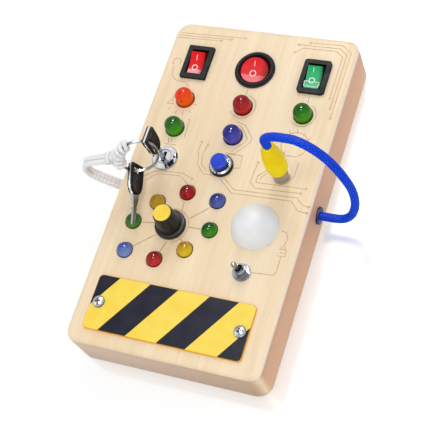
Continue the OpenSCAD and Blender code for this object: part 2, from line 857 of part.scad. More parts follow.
module round_switch() {
  step_h = bezel_h - 0.9;
  color([0.13, 0.13, 0.14]) translate([0, rocker_y, face_z]) difference() {
    union() {
      turned() {
        square([round_bezel_r, step_h]);
        translate([round_bezel_r - 1.5, step_h]) circle(0.9);
      }
      translate([0, 0, -housing_depth]) cylinder(r = round_housing_r, h = housing_depth + e);
    }
    translate([0, 0, -pocket_depth]) cylinder(r = round_opening_r, h = pocket_depth + bezel_h + 1);
    translate([0, 0, -pivot_drop]) rotate([0, 90, 0])
      cylinder(r = pin_rr + running_gap, h = 2 * round_housing_r - 0.4, center = true);
  }
}

module round_rocker() {
  top = 4.6;
  chord = 7.2;
  cut_r = (chord * chord + cap_sag * cap_sag) / (2 * cap_sag);
  color("red") translate([0, rocker_y, pivot_z]) {
    rotate([rocker_tilt, 0, 0]) difference() {
      intersection() {
        sphere(round_cap_r);
        translate([0, 0, -cap_low]) cylinder(r = round_cap_r + 1, h = cap_low + top);
      }
      translate([0, 0, top - cap_sag + cut_r]) rotate([0, 90, 0]) cylinder(r = cut_r, h = 30, center = true, $fn = 128);
    }
    rotate([0, 90, 0]) cylinder(r = pin_rr, h = 2 * round_housing_r - 1, center = true);
  }
}

module switch_terminals() {
  color("goldenrod") for (x = [left_x, 0, right_x], s = [-1, 1]) {
    translate([x - tab_w / 2, rocker_y + s * 4.5 - tab_t / 2, face_z - housing_depth - tab_l])
      cube([tab_w, tab_t, tab_l]);
  }
}

// ---------- selector ----------

module selector_switch() {
  color("slategray") translate([selector_x, selector_y, 0]) difference() {
    union() {
      translate([0, 0, under_z - selector_body_h]) cylinder(r = selector_body_r, h = selector_body_h);
      translate([0, 0, under_z - e]) cylinder(r = bushing_r, h = top_wall + selector_nut_h + 0.2);
    }
    translate([0, 0, under_z - selector_body_h + 3]) cylinder(r = shaft_r + running_gap, h = 30);
  }
}

module selector_nut() {
  color("silver") translate([selector_x, selector_y, face_z]) hex_nut(selector_nut_r, selector_nut_h, bushing_r + 0.02);
}

module selector_shaft() {
  low = under_z - selector_body_h + 3.1;
  color("silver") translate([selector_x, selector_y, low])
    cylinder(r = shaft_r, h = face_z + knob_h - 3 - low);
}

module knob() {
  top = knob_h - knob_lift;
  color([0.1, 0.1, 0.11]) translate([selector_x, selector_y, face_z + knob_lift]) difference() {
    turned() {
      square([knob_flange_r, knob_flange_t - 0.8]);
      square([knob_flange_r - 0.8, knob_flange_t]);
      translate([knob_flange_r - 0.8, knob_flange_t - 0.8]) circle(0.8);
      polygon([[0, 0], [knob_body_r, 0], [knob_body_r, knob_flange_t], [knob_top_r, top - 0.4], [knob_top_r - 0.4, top], [0, top]]);
    }
    translate([0, 0, -e]) cylinder(r = selector_nut_r + 0.4, h = knob_skirt_depth - 1);
    cylinder(r = shaft_r + 0.02, h = knob_h - knob_lift - 2.9);
    translate([0, 0, top - insert_t]) cylinder(r = insert_r + 0.05, h = 5);
  }
}

module knob_insert() {
  color("gold") translate([selector_x, selector_y, face_z + knob_h - insert_t]) cylinder(r = insert_r, h = insert_t + 0.3);
}

// ---------- lock, keys, ring, tether ----------

module lock_housing() {
  color("silver") translate(lock_foot) difference() {
    union() {
      turned() {
        square([lock_r, 1]);
        square([lock_r - 0.5, 1.6]);
        polygon([[0, 0], [6.2, 0], [6.2, 1.8], [5.4, lock_face], [0, lock_face]]);
      }
      translate([0, 0, -lock_depth]) cylinder(r = lock_body_r, h = lock_depth + e);
    }
    translate([0, 0, -lock_depth + 2]) cylinder(r = rotor_r + running_gap, h = lock_depth + lock_face);
  }
}

// Hexagon nuts that hold the lock and the push button under the wood
module mounting_nuts() {
  color("silver") {
    translate([lock_x, row3_y, under_z - nut_h]) hex_nut(nut_r, nut_h, lock_body_r + 0.02);
    translate([button_x, button_y, under_z - nut_h]) hex_nut(nut_r, nut_h, button_barrel_r + 0.02);
  }
}

module lock_rotor() {
  low = -lock_depth + 2.1;
  color("gray") translate(lock_foot) difference() {
    translate([0, 0, low]) cylinder(r = rotor_r, h = lock_face - 0.5 - low);
    translate([-key_blade_t / 2 - slot_gap, -key_blade_w / 2 - slot_gap, key_shoulder_z - key_blade_l - face_z - 0.3])
      cube([key_blade_t + 2 * slot_gap, key_blade_w + 2 * slot_gap, 30]);
  }
}

// Key head, its blade pointing down from the origin
module key_head_shape() {
  difference() {
    rotate([90, 0, 90]) linear_extrude(key_head_t, center = true) difference() {
      translate([-key_lean, key_head_l / 2]) round_rect(key_head_w, key_head_l, 1.6);
      translate([key_hole[0], key_hole[1]]) round_rect(key_hole_w, key_hole_l, 1.5);
    }
    translate([0, 0, 3]) cube([key_blade_t, key_blade_w, 6 + e], center = true);
  }
}

// Steel blade with a groove and three notches
module key_blade_shape() {
  tip = 1.4;
  difference() {
    rotate([90, 0, 90]) linear_extrude(key_blade_t, center = true) polygon([
      [-key_blade_w / 2, 6], [key_blade_w / 2, 6], [key_blade_w / 2, -key_blade_l + tip],
      [key_blade_w / 2 - tip, -key_blade_l], [-key_blade_w / 2 + tip, -key_blade_l], [-key_blade_w / 2, -key_blade_l + tip]
    ]);
    for (s = [-1, 1]) {
      translate([s * key_blade_t / 2, 0, -key_blade_l / 2 - 1]) cube([0.7, 1, key_blade_l], center = true);
    }
    for (i = [0:2]) {
      translate([0, key_blade_w / 2 + 0.5, -key_blade_l + 3.2 + 3 * i]) rotate([45, 0, 0]) cube([4, 1.8, 1.8], center = true);
    }
  }
}

module in_lock() {
  translate([lock_x, row3_y, key_shoulder_z]) children();
}

// The second key hangs on the ring by the middle of its hole
module on_ring() {
  translate(lock_foot + key2_from_lock) rotate(key2_turn) translate([0, -key_hole[0], -key_hole[1]]) children();
}

module key_head() { color([0.1, 0.1, 0.1]) in_lock() key_head_shape(); }
module key_blade() { color("silver") in_lock() key_blade_shape(); }
module second_key_head() { color([0.1, 0.1, 0.1]) on_ring() key_head_shape(); }
module second_key_blade() { color("silver") on_ring() key_blade_shape(); }

// Split ring: two turns of wire lying side by side
module key_ring() {
  tilt = acos(ring_n[2]);
  turn = atan2(ring_n[1], ring_n[0]);
  color("silver") translate(ring_center) rotate([0, tilt, turn]) turned() {
    for (s = [-1, 1]) {
      translate([ring_r, s * ring_turn_gap]) circle(ring_wire_r, $fn = 32);
    }
  }
}

module tether_cord() {
  color("white") tube(tether_points, tether_d / 2, 8, [0.05, 1, -0.4]);
}

// ---------- push button ----------

module button_housing() {
  color([0.12, 0.12, 0.13]) translate([button_x, button_y, face_z]) difference() {
    translate([0, 0, -button_depth]) cylinder(r = button_barrel_r, h = button_depth + 0.8);
    translate([0, 0, -button_depth + button_floor]) cylinder(r = button_cap_r + running_gap, h = 30);
  }
}

module button_bezel() {
  rim_r = button_bezel_r - 0.5;
  color("silver") translate([button_x, button_y, face_z]) difference() {
    turned() {
      square([button_bezel_r, 1.4]);
      square([rim_r - 0.3, button_bezel_h - 1]);
      translate([0, button_bezel_h - 1.4]) polygon([[0, 0], [rim_r, 0.1], [rim_r, 0.6], [rim_r - 0.7, 1.4], [0, 1.4]]);
    }
    translate([0, 0, -1]) cylinder(r = button_barrel_r + 0.02, h = 1.8);
    cylinder(r = button_cap_r + 0.25, h = 10);
  }
}

module button_cap() {
  edge = 0.6;
  low = button_foot_z - face_z;
  color("mediumblue") translate([button_x, button_y, face_z]) turned() {
    translate([0, low]) square([button_cap_r, button_cap_h - edge - low]);
    square([button_cap_r - edge, button_cap_h]);
    translate([button_cap_r - edge, button_cap_h - edge]) circle(edge);
  }
}

module button_spring() {
  low = face_z - button_depth + button_floor;
  color("silver") translate([button_x, button_y, low]) coil(spring_r, spring_wire_r, button_foot_z - low, spring_turns);
}

// ---------- socket, plug, cord ----------

module socket() {
  color("dimgray") translate([socket_x, row3_y, face_z]) difference() {
    union() {
      translate([0, 0, -socket_depth]) cylinder(r = socket_barrel_r + 1.2, h = socket_depth - top_wall);
      translate([0, 0, -top_wall - e]) cylinder(r = socket_barrel_r, h = top_wall + socket_top);
    }
    translate([0, 0, -socket_depth + 1.5]) cylinder(r = pin_r + running_gap, h = 40);
  }
}

module socket_nut() {
  grooves = 24;
  color("silver") translate([socket_x, row3_y, face_z]) difference() {
    cylinder(r = socket_nut_r, h = socket_nut_h);
    translate([0, 0, -1]) cylinder(r = socket_barrel_r + 0.02, h = socket_nut_h + 2);
    for (k = [0:grooves - 1]) {
      rotate(k * 360 / grooves) translate([socket_nut_r, 0, -1]) rotate(45) cube([0.45, 0.45, 10], center = true);
    }
  }
}

// Metal collar and pin of the plug
module plug_sleeve() {
  color("silver") translate([socket_x, row3_y, face_z]) {
    turned() {
      for (z = [plug_sleeve_z:0.9:plug_shell_z - 0.6]) {
        translate([0, z]) square([plug_sleeve_r, 0.6]);
      }
      translate([0, plug_sleeve_z]) square([plug_sleeve_r - 0.35, plug_shell_z - plug_sleeve_z]);
      polygon([[0, -pin_l + 2.9], [0.6, -pin_l + 2.9], [pin_r, -pin_l + 4.9], [pin_r, plug_sleeve_z + 1], [0, plug_sleeve_z + 1]]);
    }
  }
}

module plug_shell() {
  rib_low = 20;
  rib_pitch = 1.6;
  ribs = 7;
  color("gold") translate([socket_x, row3_y, face_z]) difference() {
    turned() polygon(concat([[0, plug_shell_z]], [for (p = plug_profile) [plug_r - p[1], p[0]]], [[0, plug_top_z]]));
    for (z = [rib_low:rib_pitch:rib_low + rib_pitch * (ribs - 1)]) {
      translate([0, 0, z]) rotate_extrude() translate([plug_r - lookup(z, plug_profile), 0]) circle(0.25, $fn = 16);
    }
  }
}

module plug_cord() {
  color("royalblue") tube(cord_route, cord_d / 2, 10, [0, 1, 0]);
}

module cord_grommet() {
  inner_t = 1;
  color([0.1, 0.15, 0.5]) translate([half_w, grommet_y, grommet_z]) rotate([0, 90, 0]) difference() {
    union() {
      cylinder(r = grommet_lip_r, h = grommet_lip_t);
      translate([0, 0, -side_wall - e]) cylinder(r = grommet_neck_r, h = side_wall + 2 * e);
      translate([0, 0, -side_wall - inner_t]) cylinder(r = grommet_neck_r + 0.6, h = inner_t);
    }
    translate([0, 0, -side_wall - 5]) cylinder(r = cord_d / 2, h = side_wall + 10);
  }
}

// ---------- toggle switch ----------

module toggle_switch() {
  color("silver") translate([toggle_x, toggle_y, face_z]) difference() {
    union() {
      translate([-toggle_body_l / 2, -toggle_body_w / 2, -top_wall - toggle_body_h])
        cube([toggle_body_l, toggle_body_w, toggle_body_h]);
      translate([0, 0, -top_wall - e]) cylinder(r = toggle_bushing_r, h = top_wall + bushing_h);
      cylinder(r = toggle_nut_r, h = 0.7);
      translate([0, 0, 0.7 - e]) cylinder(r = toggle_nut_r - 0.6, h = toggle_nut_h - 0.7, $fn = 6);
    }
    translate([0, 0, -1]) cylinder(r = toggle_bore_r, h = 20);
    translate([0, 0, toggle_pivot_z - face_z]) rotate([90, 0, 0])
      cylinder(r = toggle_pin_r + running_gap, h = 2 * toggle_bushing_r + 4, center = true);
  }
}

module toggle_lever() {
  color("gainsboro") translate([toggle_x, toggle_y, toggle_pivot_z]) {
    rotate([0, -toggle_lean, 0]) turned() {
      circle(toggle_ball_r);
      polygon([[0, 0], [lever_r0, 0], [lever_r0, 1], [lever_r1, lever_l], [0, lever_l]]);
      translate([0, lever_l]) circle(lever_r1);
    }
    rotate([90, 0, 0]) cylinder(r = toggle_pin_r, h = 2 * toggle_bushing_r - 0.4, center = true, $fn = 32);
  }
}

wooden_body();
back_panel();
back_screws();
battery_tray();
batteries();
battery_contacts();
battery_cover();
battery_leads();
striped_plate();
plate_screws();
circuit_board();
board_screws();
led_orange();
led_red();
led_green_right();
led_green_left();
led_violet();
ring_led(0);  // ring_led_1
ring_led(1);  // ring_led_2
ring_led(2);  // ring_led_3
ring_led(3);  // ring_led_4
ring_led(4);  // ring_led_5
ring_led(5);  // ring_led_6
ring_led(6);  // ring_led_7
ring_led(7);  // ring_led_8
lamp_dome();
lamp_led();
left_switch();
left_rocker();
round_switch();
round_rocker();
right_switch();
right_rocker();
switch_terminals();
selector_switch();
selector_nut();
selector_shaft();
knob();
knob_insert();
lock_housing();
lock_rotor();
key_head();
key_blade();
key_ring();
second_key_head();
second_key_blade();
tether_cord();
button_housing();
button_bezel();
button_cap();
button_spring();
mounting_nuts();
socket();
socket_nut();
plug_sleeve();
plug_shell();
plug_cord();
cord_grommet();
toggle_switch();
toggle_lever();
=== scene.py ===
"""Wooden busy board: materials, engraved lines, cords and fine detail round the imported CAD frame.

Lengths are in millimetres in the CAD's own frame; mm() and MM turn them into Blender's metres.
"""

import math

import bmesh
import bpy
from mathutils import Matrix, Vector


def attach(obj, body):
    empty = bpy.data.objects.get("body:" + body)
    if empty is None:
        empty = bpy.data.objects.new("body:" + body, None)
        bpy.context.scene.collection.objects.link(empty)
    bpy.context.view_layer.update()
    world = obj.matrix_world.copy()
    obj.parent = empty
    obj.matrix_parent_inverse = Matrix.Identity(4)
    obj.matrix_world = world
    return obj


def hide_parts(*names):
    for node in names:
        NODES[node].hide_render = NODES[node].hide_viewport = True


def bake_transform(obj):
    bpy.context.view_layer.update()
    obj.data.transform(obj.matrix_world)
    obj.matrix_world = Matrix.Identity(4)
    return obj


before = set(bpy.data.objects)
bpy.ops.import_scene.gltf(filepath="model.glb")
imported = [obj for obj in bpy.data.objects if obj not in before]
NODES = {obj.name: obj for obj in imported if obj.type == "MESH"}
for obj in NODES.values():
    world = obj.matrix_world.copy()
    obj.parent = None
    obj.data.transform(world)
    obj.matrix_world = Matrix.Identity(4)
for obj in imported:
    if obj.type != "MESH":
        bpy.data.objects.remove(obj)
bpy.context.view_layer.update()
MM = 0.001


def mm(*point):
    return Vector(point) * MM


def extent(name):
    """Lowest and highest corner of a CAD node, in millimetres."""
    points = [NODES[name].matrix_world @ Vector(corner) / MM for corner in NODES[name].bound_box]
    return [[pick(p[k] for p in points) for k in range(3)] for pick in (min, max)]


def middle(name):
    """Middle (x, y) of a CAD node seen from above, to a tenth of a millimetre."""
    low, high = extent(name)
    return tuple(round((low[k] + high[k]) / 2, 1) for k in range(2))


# Places taken from pieces that are fixed to the board
FACE_Z = round(extent("wooden_body")[1][2], 1)
LOCK = middle("lock_housing")
KNOB = middle("selector_switch")
BUTTON = middle("button_bezel")
COLUMN_X, ROCKER_Y = middle("right_switch")


# ---------- camera: its axes and place in metres, solved from the board's corners ----------

CAM_X = (0.914756, 0.298682, -0.272049)
CAM_DOWN = (0.161004, -0.887104, -0.432579)
CAM_AHEAD = (-0.370539, 0.351903, -0.859572)
CAM_PLACE = (0.231975, -0.231932, 0.552983)

camera_data = bpy.data.cameras.new("camera")
camera_data.lens = 97.28
camera_data.sensor_width = 36.0
camera_data.clip_start = 0.01
camera = bpy.data.objects.new("camera", camera_data)
bpy.context.scene.collection.objects.link(camera)
camera.matrix_world = Matrix(
    [(CAM_X[i], -CAM_DOWN[i], -CAM_AHEAD[i], CAM_PLACE[i]) for i in range(3)] + [(0, 0, 0, 1)]
)
bpy.context.scene.camera = camera


# ---------- mesh helpers ----------

def to_object(name, bm, body, material, smooth=True):
    """Makes an object of a bmesh in millimetres; it rides on a body if one is named."""
    bmesh.ops.recalc_face_normals(bm, faces=bm.faces)
    bmesh.ops.scale(bm, vec=(MM, MM, MM), verts=bm.verts)
    mesh = bpy.data.meshes.new(name)
    bm.to_mesh(mesh)
    bm.free()
    for poly in mesh.polygons:
        poly.use_smooth = smooth
    obj = bpy.data.objects.new(name, mesh)
    bpy.context.scene.collection.objects.link(obj)
    mesh.materials.append(material)
    if body:
        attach(obj, body)
    return obj


def bridge(bm, rows, ring=False):
    """Joins closed rows of vertices in turn; a ring of rows meets its own start, other ends get a cap."""
    for a, b in zip(rows, rows[1:] + rows[:1] if ring else rows[1:]):
        for k in range(len(a)):
            j = (k + 1) % len(a)
            bm.faces.new((a[k], a[j], b[j], b[k]))
    if not ring:
        bm.faces.new(rows[0][::-1])
        bm.faces.new(rows[-1])


def lofted(bm, rows, ring=False):
    """Joins closed rows of points."""
    bridge(bm, [[bm.verts.new(p) for p in row] for row in rows], ring)


def spline(points, step, fine=20):
    """Catmull-Rom curve through points, cut into even steps of about step."""
    pts = [Vector(p) for p in points]
    pts = [2 * pts[0] - pts[1]] + pts + [2 * pts[-1] - pts[-2]]
    dense = []
    for i in range(1, len(pts) - 2):
        a, b, c, d = pts[i - 1:i + 3]
        for k in range(fine):
            t = k / fine
            dense.append(0.5 * (2 * b + (c - a) * t + (2 * a - 5 * b + 4 * c - d) * t * t
                                + (3 * b - a - 3 * c + d) * t ** 3))
    dense.append(pts[-2])
    run = [0.0]
    for a, b in zip(dense, dense[1:]):
        run.append(run[-1] + (b - a).length)
    count = max(2, round(run[-1] / step))
    out, j = [], 0
    for i in range(count + 1):
        s = run[-1] * i / count
        while j < len(run) - 2 and run[j + 1] < s:
            j += 1
        gap = run[j + 1] - run[j]
        out.append(dense[j].lerp(dense[j + 1], (s - run[j]) / gap if gap else 0))
    return out, run[-1]


def frames(path):
    """Pairs of normals along a path that don't turn about it."""
    tangents = []
    for i in range(len(path)):
        a, b = path[max(i - 1, 0)], path[min(i + 1, len(path) - 1)]
        tangents.append((b - a).normalized())
    normal = tangents[0].orthogonal().normalized()
    out = []
    for t in tangents:
        normal = (normal - t * normal.dot(t)).normalized()
        out.append((normal, t.cross(normal)))
    return out


def braided_tube(name, material, points, radius, step, sides, strands, pitch, depth):
    """Tube of a round braid: the strands' crowns stand proud by depth, and a colour attribute marks them for
    the painted shade and highlight.
    """
    path, length = spline(points, step)
    bm = bmesh.new()
    tone = bm.verts.layers.float_color.new("braid")
    rings = []
    for i, (p, (n, b)) in enumerate(zip(path, frames(path))):
        turn = 2 * math.pi * length * i / (len(path) - 1) / pitch
        ring = []
        for k in range(sides):
            a = 2 * math.pi * k / sides
            one = math.sin(strands * a + turn)
            two = math.sin(strands * a - turn)
            crown = max(one * one, two * two) if one * two > 0 else max(abs(one), abs(two)) ** 3
            r = radius - depth * (1 - crown)
            v = bm.verts.new(p + (n * math.cos(a) + b * math.sin(a)) * r)
            v[tone] = (crown, 0.5 + 0.5 * one, 0.5 + 0.5 * two, 1)
            ring.append(v)
        rings.append(ring)
    bridge(bm, rings)
    return to_object(name, bm, None, material), path, length


def plain_tube(bm, path, radius, sides):
    """Adds a round tube along a path to a bmesh."""
    turns = [2 * math.pi * k / sides for k in range(sides)]
    lofted(bm, [[p + (n * math.cos(a) + b * math.sin(a)) * radius for a in turns]
                for p, (n, b) in zip(path, frames(path))])


def lathe(bm, profile, centre, turns, ripple=None):
    """Adds a closed profile (radius, height) turned about Z; ripple(radius, angle) bends the radius."""
    rows = []
    for k in range(turns):
        a = 2 * math.pi * k / turns
        row = []
        for r, z in profile:
            bent = ripple(r, a) if ripple else r
            row.append((centre[0] + bent * math.cos(a), centre[1] + bent * math.sin(a), z))
        rows.append(row)
    lofted(bm, rows, ring=True)


def washer(bm, centre, inner, outer, low, high, turns):
    """Adds a flat ring."""
    lathe(bm, [(inner, low), (outer, low), (outer, high), (inner, high)], centre, turns)


def ribbon(bm, points, width, low, high, sharpest=0.45):
    """Adds a flat strip along points in the plane, from low to high; sharpest holds its corners in."""
    pts = [Vector((x, y, 0)) for x, y in points]
    rows = []
    for i, p in enumerate(pts):
        before = pts[i - 1] if i else p * 2 - pts[i + 1]
        after = pts[i + 1] if i < len(pts) - 1 else p * 2 - pts[i - 1]
        a, b = (p - before).normalized(), (after - p).normalized()
        t = (a + b).normalized() if (a + b).length > 1e-6 else b
        out = Vector((-t.y, t.x, 0))
        reach = out * (width / 2 / max(sharpest, abs(out.dot(Vector((-b.y, b.x, 0))))))
        left, right = p + reach, p - reach
        rows.append([(q.x, q.y, z) for q, z in ((left, low), (left, high), (right, high), (right, low))])
    lofted(bm, rows)


def arc(centre, radius, start, end, steps):
    """Points on an arc between two angles in degrees."""
    turns = [math.radians(start + (end - start) * k / steps) for k in range(steps + 1)]
    return [(centre[0] + radius * math.cos(a), centre[1] + radius * math.sin(a)) for a in turns]


# ---------- material helpers ----------

def srgb(*values):
    out = []
    for v in values:
        v /= 255
        out.append(v / 12.92 if v <= 0.04045 else ((v + 0.055) / 1.055) ** 2.4)
    return (*out, 1.0)


def lighter(color, by):
    return tuple(max(0, min(255, c + by)) for c in color)


def wired(tree, kind, *values, **named):
    """Adds a shader node and fills its inputs, in order and by name, with outputs or values."""
    made = tree.nodes.new("ShaderNode" + kind)
    for key, value in (*enumerate(values), *named.items()):
        if hasattr(value, "links"):
            tree.links.new(value, made.inputs[key])
        else:
            made.inputs[key].default_value = value
    return made


class Finish:
    """One procedural material round a Principled shader; colours are written as 0 to 255."""

    def __init__(self, name, color, rough=0.5, metal=0.0, **sockets):
        self.material = bpy.data.materials.new(name)
        self.material.use_nodes = True
        self.tree = self.material.node_tree
        self.shader = self.tree.nodes["Principled BSDF"]
        self.set("Base Color", srgb(*color))
        self.set("Roughness", rough)
        self.set("Metallic", metal)
        for key, value in sockets.items():
            self.set(key.replace("_", " "), value)
        coords = self.node("TexCoord")
        self.position = coords.outputs["Object"]
        self.normal = coords.outputs["Normal"]

    def node(self, kind, *values, **named):
        return wired(self.tree, kind, *values, **named)

    def set(self, socket, value):
        self.shader.inputs[socket].default_value = value

    def to(self, socket, output):
        self.tree.links.new(output, self.shader.inputs[socket])

    def scaled(self, x, y, z):
        """The place in metres, times a factor along each axis."""
        return self.node("Mapping", Vector=self.position, Scale=(x, y, z)).outputs[0]

    def noise(self, vector, scale=1.0, detail=3.0, rough=0.5, distortion=0.0):
        made = self.node("TexNoise", Vector=vector, Scale=scale, Detail=detail, Roughness=rough,
                         Distortion=distortion)
        return made.outputs[0]

    def grain(self, per_mm, detail=3.0):
        """Even noise with about per_mm patches to a millimetre."""
        return self.noise(self.scaled(1 / MM, 1 / MM, 1 / MM), per_mm, detail)

    def maths(self, operation, a, b=0.0, c=0.0, clamp=False):
        made = self.node("Math", a, b, c)
        made.operation = operation
        made.use_clamp = clamp
        return made.outputs[0]

    def times(self, a, b):
        return self.maths("MULTIPLY", a, b)

    def axis(self, which, source=None):
        """One component (0, 1 or 2) of the place in metres, or of another vector."""
        return self.node("SeparateXYZ", source or self.position).outputs[which]

    def dot(self, vector, direction):
        made = self.node("VectorMath", vector, direction)
        made.operation = "DOT_PRODUCT"
        return made.outputs["Value"]

    def along(self, direction, origin, reach):
        """0 to 1 along a direction from origin (mm) over reach (mm)."""
        moved = self.node("VectorMath", self.position, mm(*origin))
        moved.operation = "SUBTRACT"
        return self.span(self.dot(moved.outputs[0], Vector(direction).normalized()), 0.0, reach * MM)

    def span(self, value, low, high, new_low=0.0, new_high=1.0, smooth=False):
        """Maps low to high onto new_low to new_high, and holds the ends."""
        made = self.node("MapRange", value, low, high, new_low, new_high)
        made.interpolation_type = "SMOOTHSTEP" if smooth else "LINEAR"
        return made.outputs["Result"]

    def rise(self, low, high):
        """0 to 1 between two heights in mm above the board's face."""
        return self.span(self.axis(2), (FACE_Z + low) * MM, (FACE_Z + high) * MM)

    def mix(self, factor, a, b):
        """Colour a where factor is 0, b where it is 1."""
        made = self.node("Mix", factor)
        made.data_type = "RGBA"
        for value, socket in ((a, made.inputs[6]), (b, made.inputs[7])):
            if hasattr(value, "links"):
                self.tree.links.new(value, socket)
            else:
                socket.default_value = srgb(*value)
        return made.outputs[2]

    def bump(self, height, distance, strength=1.0):
        made = self.node("Bump", Strength=strength, Distance=distance * MM, Height=height)
        self.to("Normal", made.outputs[0])

    def tint(self, a, b, size):
        """Base colour that drifts between two tones in patches of size mm."""
        self.to("Base Color", self.mix(self.span(self.grain(1 / size), 0.3, 0.7), a, b))

    def wear(self, size, low, high):
        """Roughness that wanders between low and high in patches of size mm."""
        self.to("Roughness", self.span(self.grain(1 / size, 4.0), 0.3, 0.7, low, high))


def dress(f, *names):
    """Gives the carried-over CAD nodes of these names one finish."""
    for name in names:
        slots = NODES[name].material_slots
        if not slots:
            NODES[name].data.materials.append(f.material)
        for slot in slots:
            slot.material = f.material


def plastic(name, color, rough, size=1.2, depth=0.02, drift=12, **sockets):
    """Moulded plastic: a slight drift of tone, wandering gloss and a fine grain."""
    f = Finish(name, color, rough, **sockets)
    f.tint(color, lighter(color, drift), 6.0)
    f.wear(4.0, rough * 0.8, min(1.0, rough * 1.25))
    f.bump(f.grain(4 / size), depth, 0.5)
    return f


def metal(name, color, rough, fine=(1, 1, 1), depth=0.01, dark=40):
    """Metal with fine scratches, which run along the axis that has the smallest number in fine."""
    f = Finish(name, color, rough, 1.0)
    scratches = f.noise(f.scaled(*(g / MM for g in fine)), 2.2, 4.0, 0.6)
    f.to("Base Color", f.mix(f.span(scratches, 0.35, 0.8), color, lighter(color, -dark)))
    f.to("Roughness", f.span(scratches, 0.25, 0.8, rough * 0.7, rough * 1.5))
    f.bump(scratches, depth, 0.4)
    return f


def braid_shading(f, low, high, dark, pale):
    """Colour of a braid: painted shade between the strands, painted highlight on their crowns."""
    tone = f.node("VertexColor")
    tone.layer_name = "braid"
    parts = f.node("SeparateColor", tone.outputs["Color"])
    return f.mix(f.span(parts.outputs[0], low, high), dark, pale)


# ---------- blue cord: from the plug's top to the grommet in the right side ----------

PLUG_ROUTE = [
    (34.4, 11.6, 59.9), (34.4, 11.6, 61.3), (33.9, 11.8, 64.6), (34.9, 12, 67.2), (37.6, 12, 69.2),
    (41.2, 12, 70.4), (46.2, 11.5, 71.5), (51.5, 11, 72), (57, 10, 70.9), (62.5, 9, 67.5),
    (67.5, 8, 62), (71.8, 6.5, 55.8), (75.2, 5, 49), (77.2, 4, 41.6), (77.7, 3, 33),
    (76.6, 2, 24.4), (73.6, 1, 16.4), (69.4, 0, 12.4), (64, -0.5, 11.7), (58, -0.5, 11.7),
    (49, -0.5, 11.7),
]
CORD_D = 4.7


def blue_braid():
    f = Finish("braided_blue", (18, 70, 214), 0.55, Specular_IOR_Level=0.12)
    # Painted shade between the strands and painted highlight on their crowns
    tone = braid_shading(f, 0.35, 0.98, (0, 34, 150), (0, 80, 255))
    f.to("Base Color", f.mix(f.span(f.grain(1.6, 2.0), 0.58, 0.7, 0.0, 0.5), tone, (70, 140, 255)))
    f.bump(f.grain(5.0), 0.08, 0.6)
    return f


blue_cord, cord_path, cord_length = braided_tube(
    "blue_cord", blue_braid().material, PLUG_ROUTE[::-1],
    radius=CORD_D / 2, step=0.24, sides=56, strands=5, pitch=5.2, depth=0.24,
)
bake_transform(blue_cord)
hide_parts("plug_cord")


# ---------- white tether: one cord that runs out to the knot at the key ring and back ----------

TETHER_ROUTE = [
    (-49, -3, 13), (-58, -3, 13.2), (-62.8, -3, 15.3), (-66.8, -3, 17.6), (-71.5, -3, 20.6),
    (-75.4, -3, 24.2), (-76.6, -3, 29), (-75.4, -3, 34), (-72.6, -3, 37.6), (-68.4, -3, 40.2),
    (-61, -3.2, 44.3),
]
TETHER_D = 2.9
TETHER_SIDE = Vector((0, 1.42, 0.57))       # from the middle of the pair to one run
KNOT_AT = Vector((-55, -3.42, 48))
RING_CENTRE = Vector((-39.6, 1.5, 45.7))
RING_N = Vector((0.49, -0.83, 0.26)).normalized()
RING_R = 10.56
knot_out = Vector((-0.72, -0.22, 0.63))
knot_out = (knot_out - RING_N * knot_out.dot(RING_N)).normalized()
knot_along = RING_N.cross(knot_out)


def white_weave():
    f = Finish("woven_white", (238, 237, 234), 0.6, Subsurface_Weight=0.2, Specular_IOR_Level=0.3)
    f.set("Subsurface Radius", (0.001, 0.001, 0.001))
    # Painted shade between the strands and painted highlight on their crowns
    f.to("Base Color", braid_shading(f, 0.05, 0.8, (206, 206, 208), (254, 254, 255)))
    f.bump(f.grain(6.0), 0.05, 0.6)
    return f


def doubled_route():
    """Way of the tether: out on one side, round inside the knot and back on the other side."""
    run = [Vector(p) for p in TETHER_ROUTE] + [KNOT_AT - Vector((1, 0, 0.6))]
    turn_back = [KNOT_AT - TETHER_SIDE * 0.9 + Vector((1.2, 0, 0.9)), KNOT_AT + Vector((2.0, 0, 1.4)),
                 KNOT_AT + TETHER_SIDE * 0.9 + Vector((1.2, 0, 0.9))]
    return [p - TETHER_SIDE for p in run] + turn_back + [p + TETHER_SIDE for p in reversed(run)]


weave = white_weave()
tether, tether_path, tether_length = braided_tube(
    "white_tether", weave.material, doubled_route(),
    radius=TETHER_D / 2, step=0.25, sides=28, strands=4, pitch=9.0, depth=0.2,
)
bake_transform(tether)
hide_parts("tether_cord")


# Strand that leaves the knot, winds along the key ring and comes back
WOUND_D = 2.3
WIND_FROM, WIND_TO, WINDS = -34, 58, 6      # degrees round the ring, and turns about its wire
WIND_OUT, WIND_SIDE = 2.25, 2.85            # half the winding's width across and along the ring's axis
PER_TURN = 12


def on_ring(degrees, out, along):
    """Point beside the key ring's wire: out from its centre, and along its normal."""
    a = math.radians(degrees)
    arm = knot_out * math.cos(a) + knot_along * math.sin(a)
    return RING_CENTRE + arm * (RING_R + out) + RING_N * along


def wound_route():
    """Way of the strand: out of the knot, round and round the key ring's wire, and back."""
    route = [KNOT_AT + Vector((-0.6, -1.0, -0.9)), KNOT_AT + Vector((2.2, -0.4, 0.4)),
             Vector((-50.6, -1.6, 52.4))]
    for i in range(PER_TURN * WINDS + 1):
        a = 2 * math.pi * i / PER_TURN
        where = WIND_FROM + (WIND_TO - WIND_FROM) * i / (PER_TURN * WINDS)
        route.append(on_ring(where, WIND_OUT * math.cos(a), WIND_SIDE * math.sin(a)))
    return route + [Vector((-52, -5.3, 45.6)), KNOT_AT + Vector((1.6, -0.6, -1.6)),
                    KNOT_AT + Vector((-0.8, 0.8, 0.2))]


tether_end, end_path, end_length = braided_tube(
    "tether_end", weave.material, wound_route(),
    radius=WOUND_D / 2, step=0.22, sides=24, strands=4, pitch=7.0, depth=0.16,
)
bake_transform(tether_end)


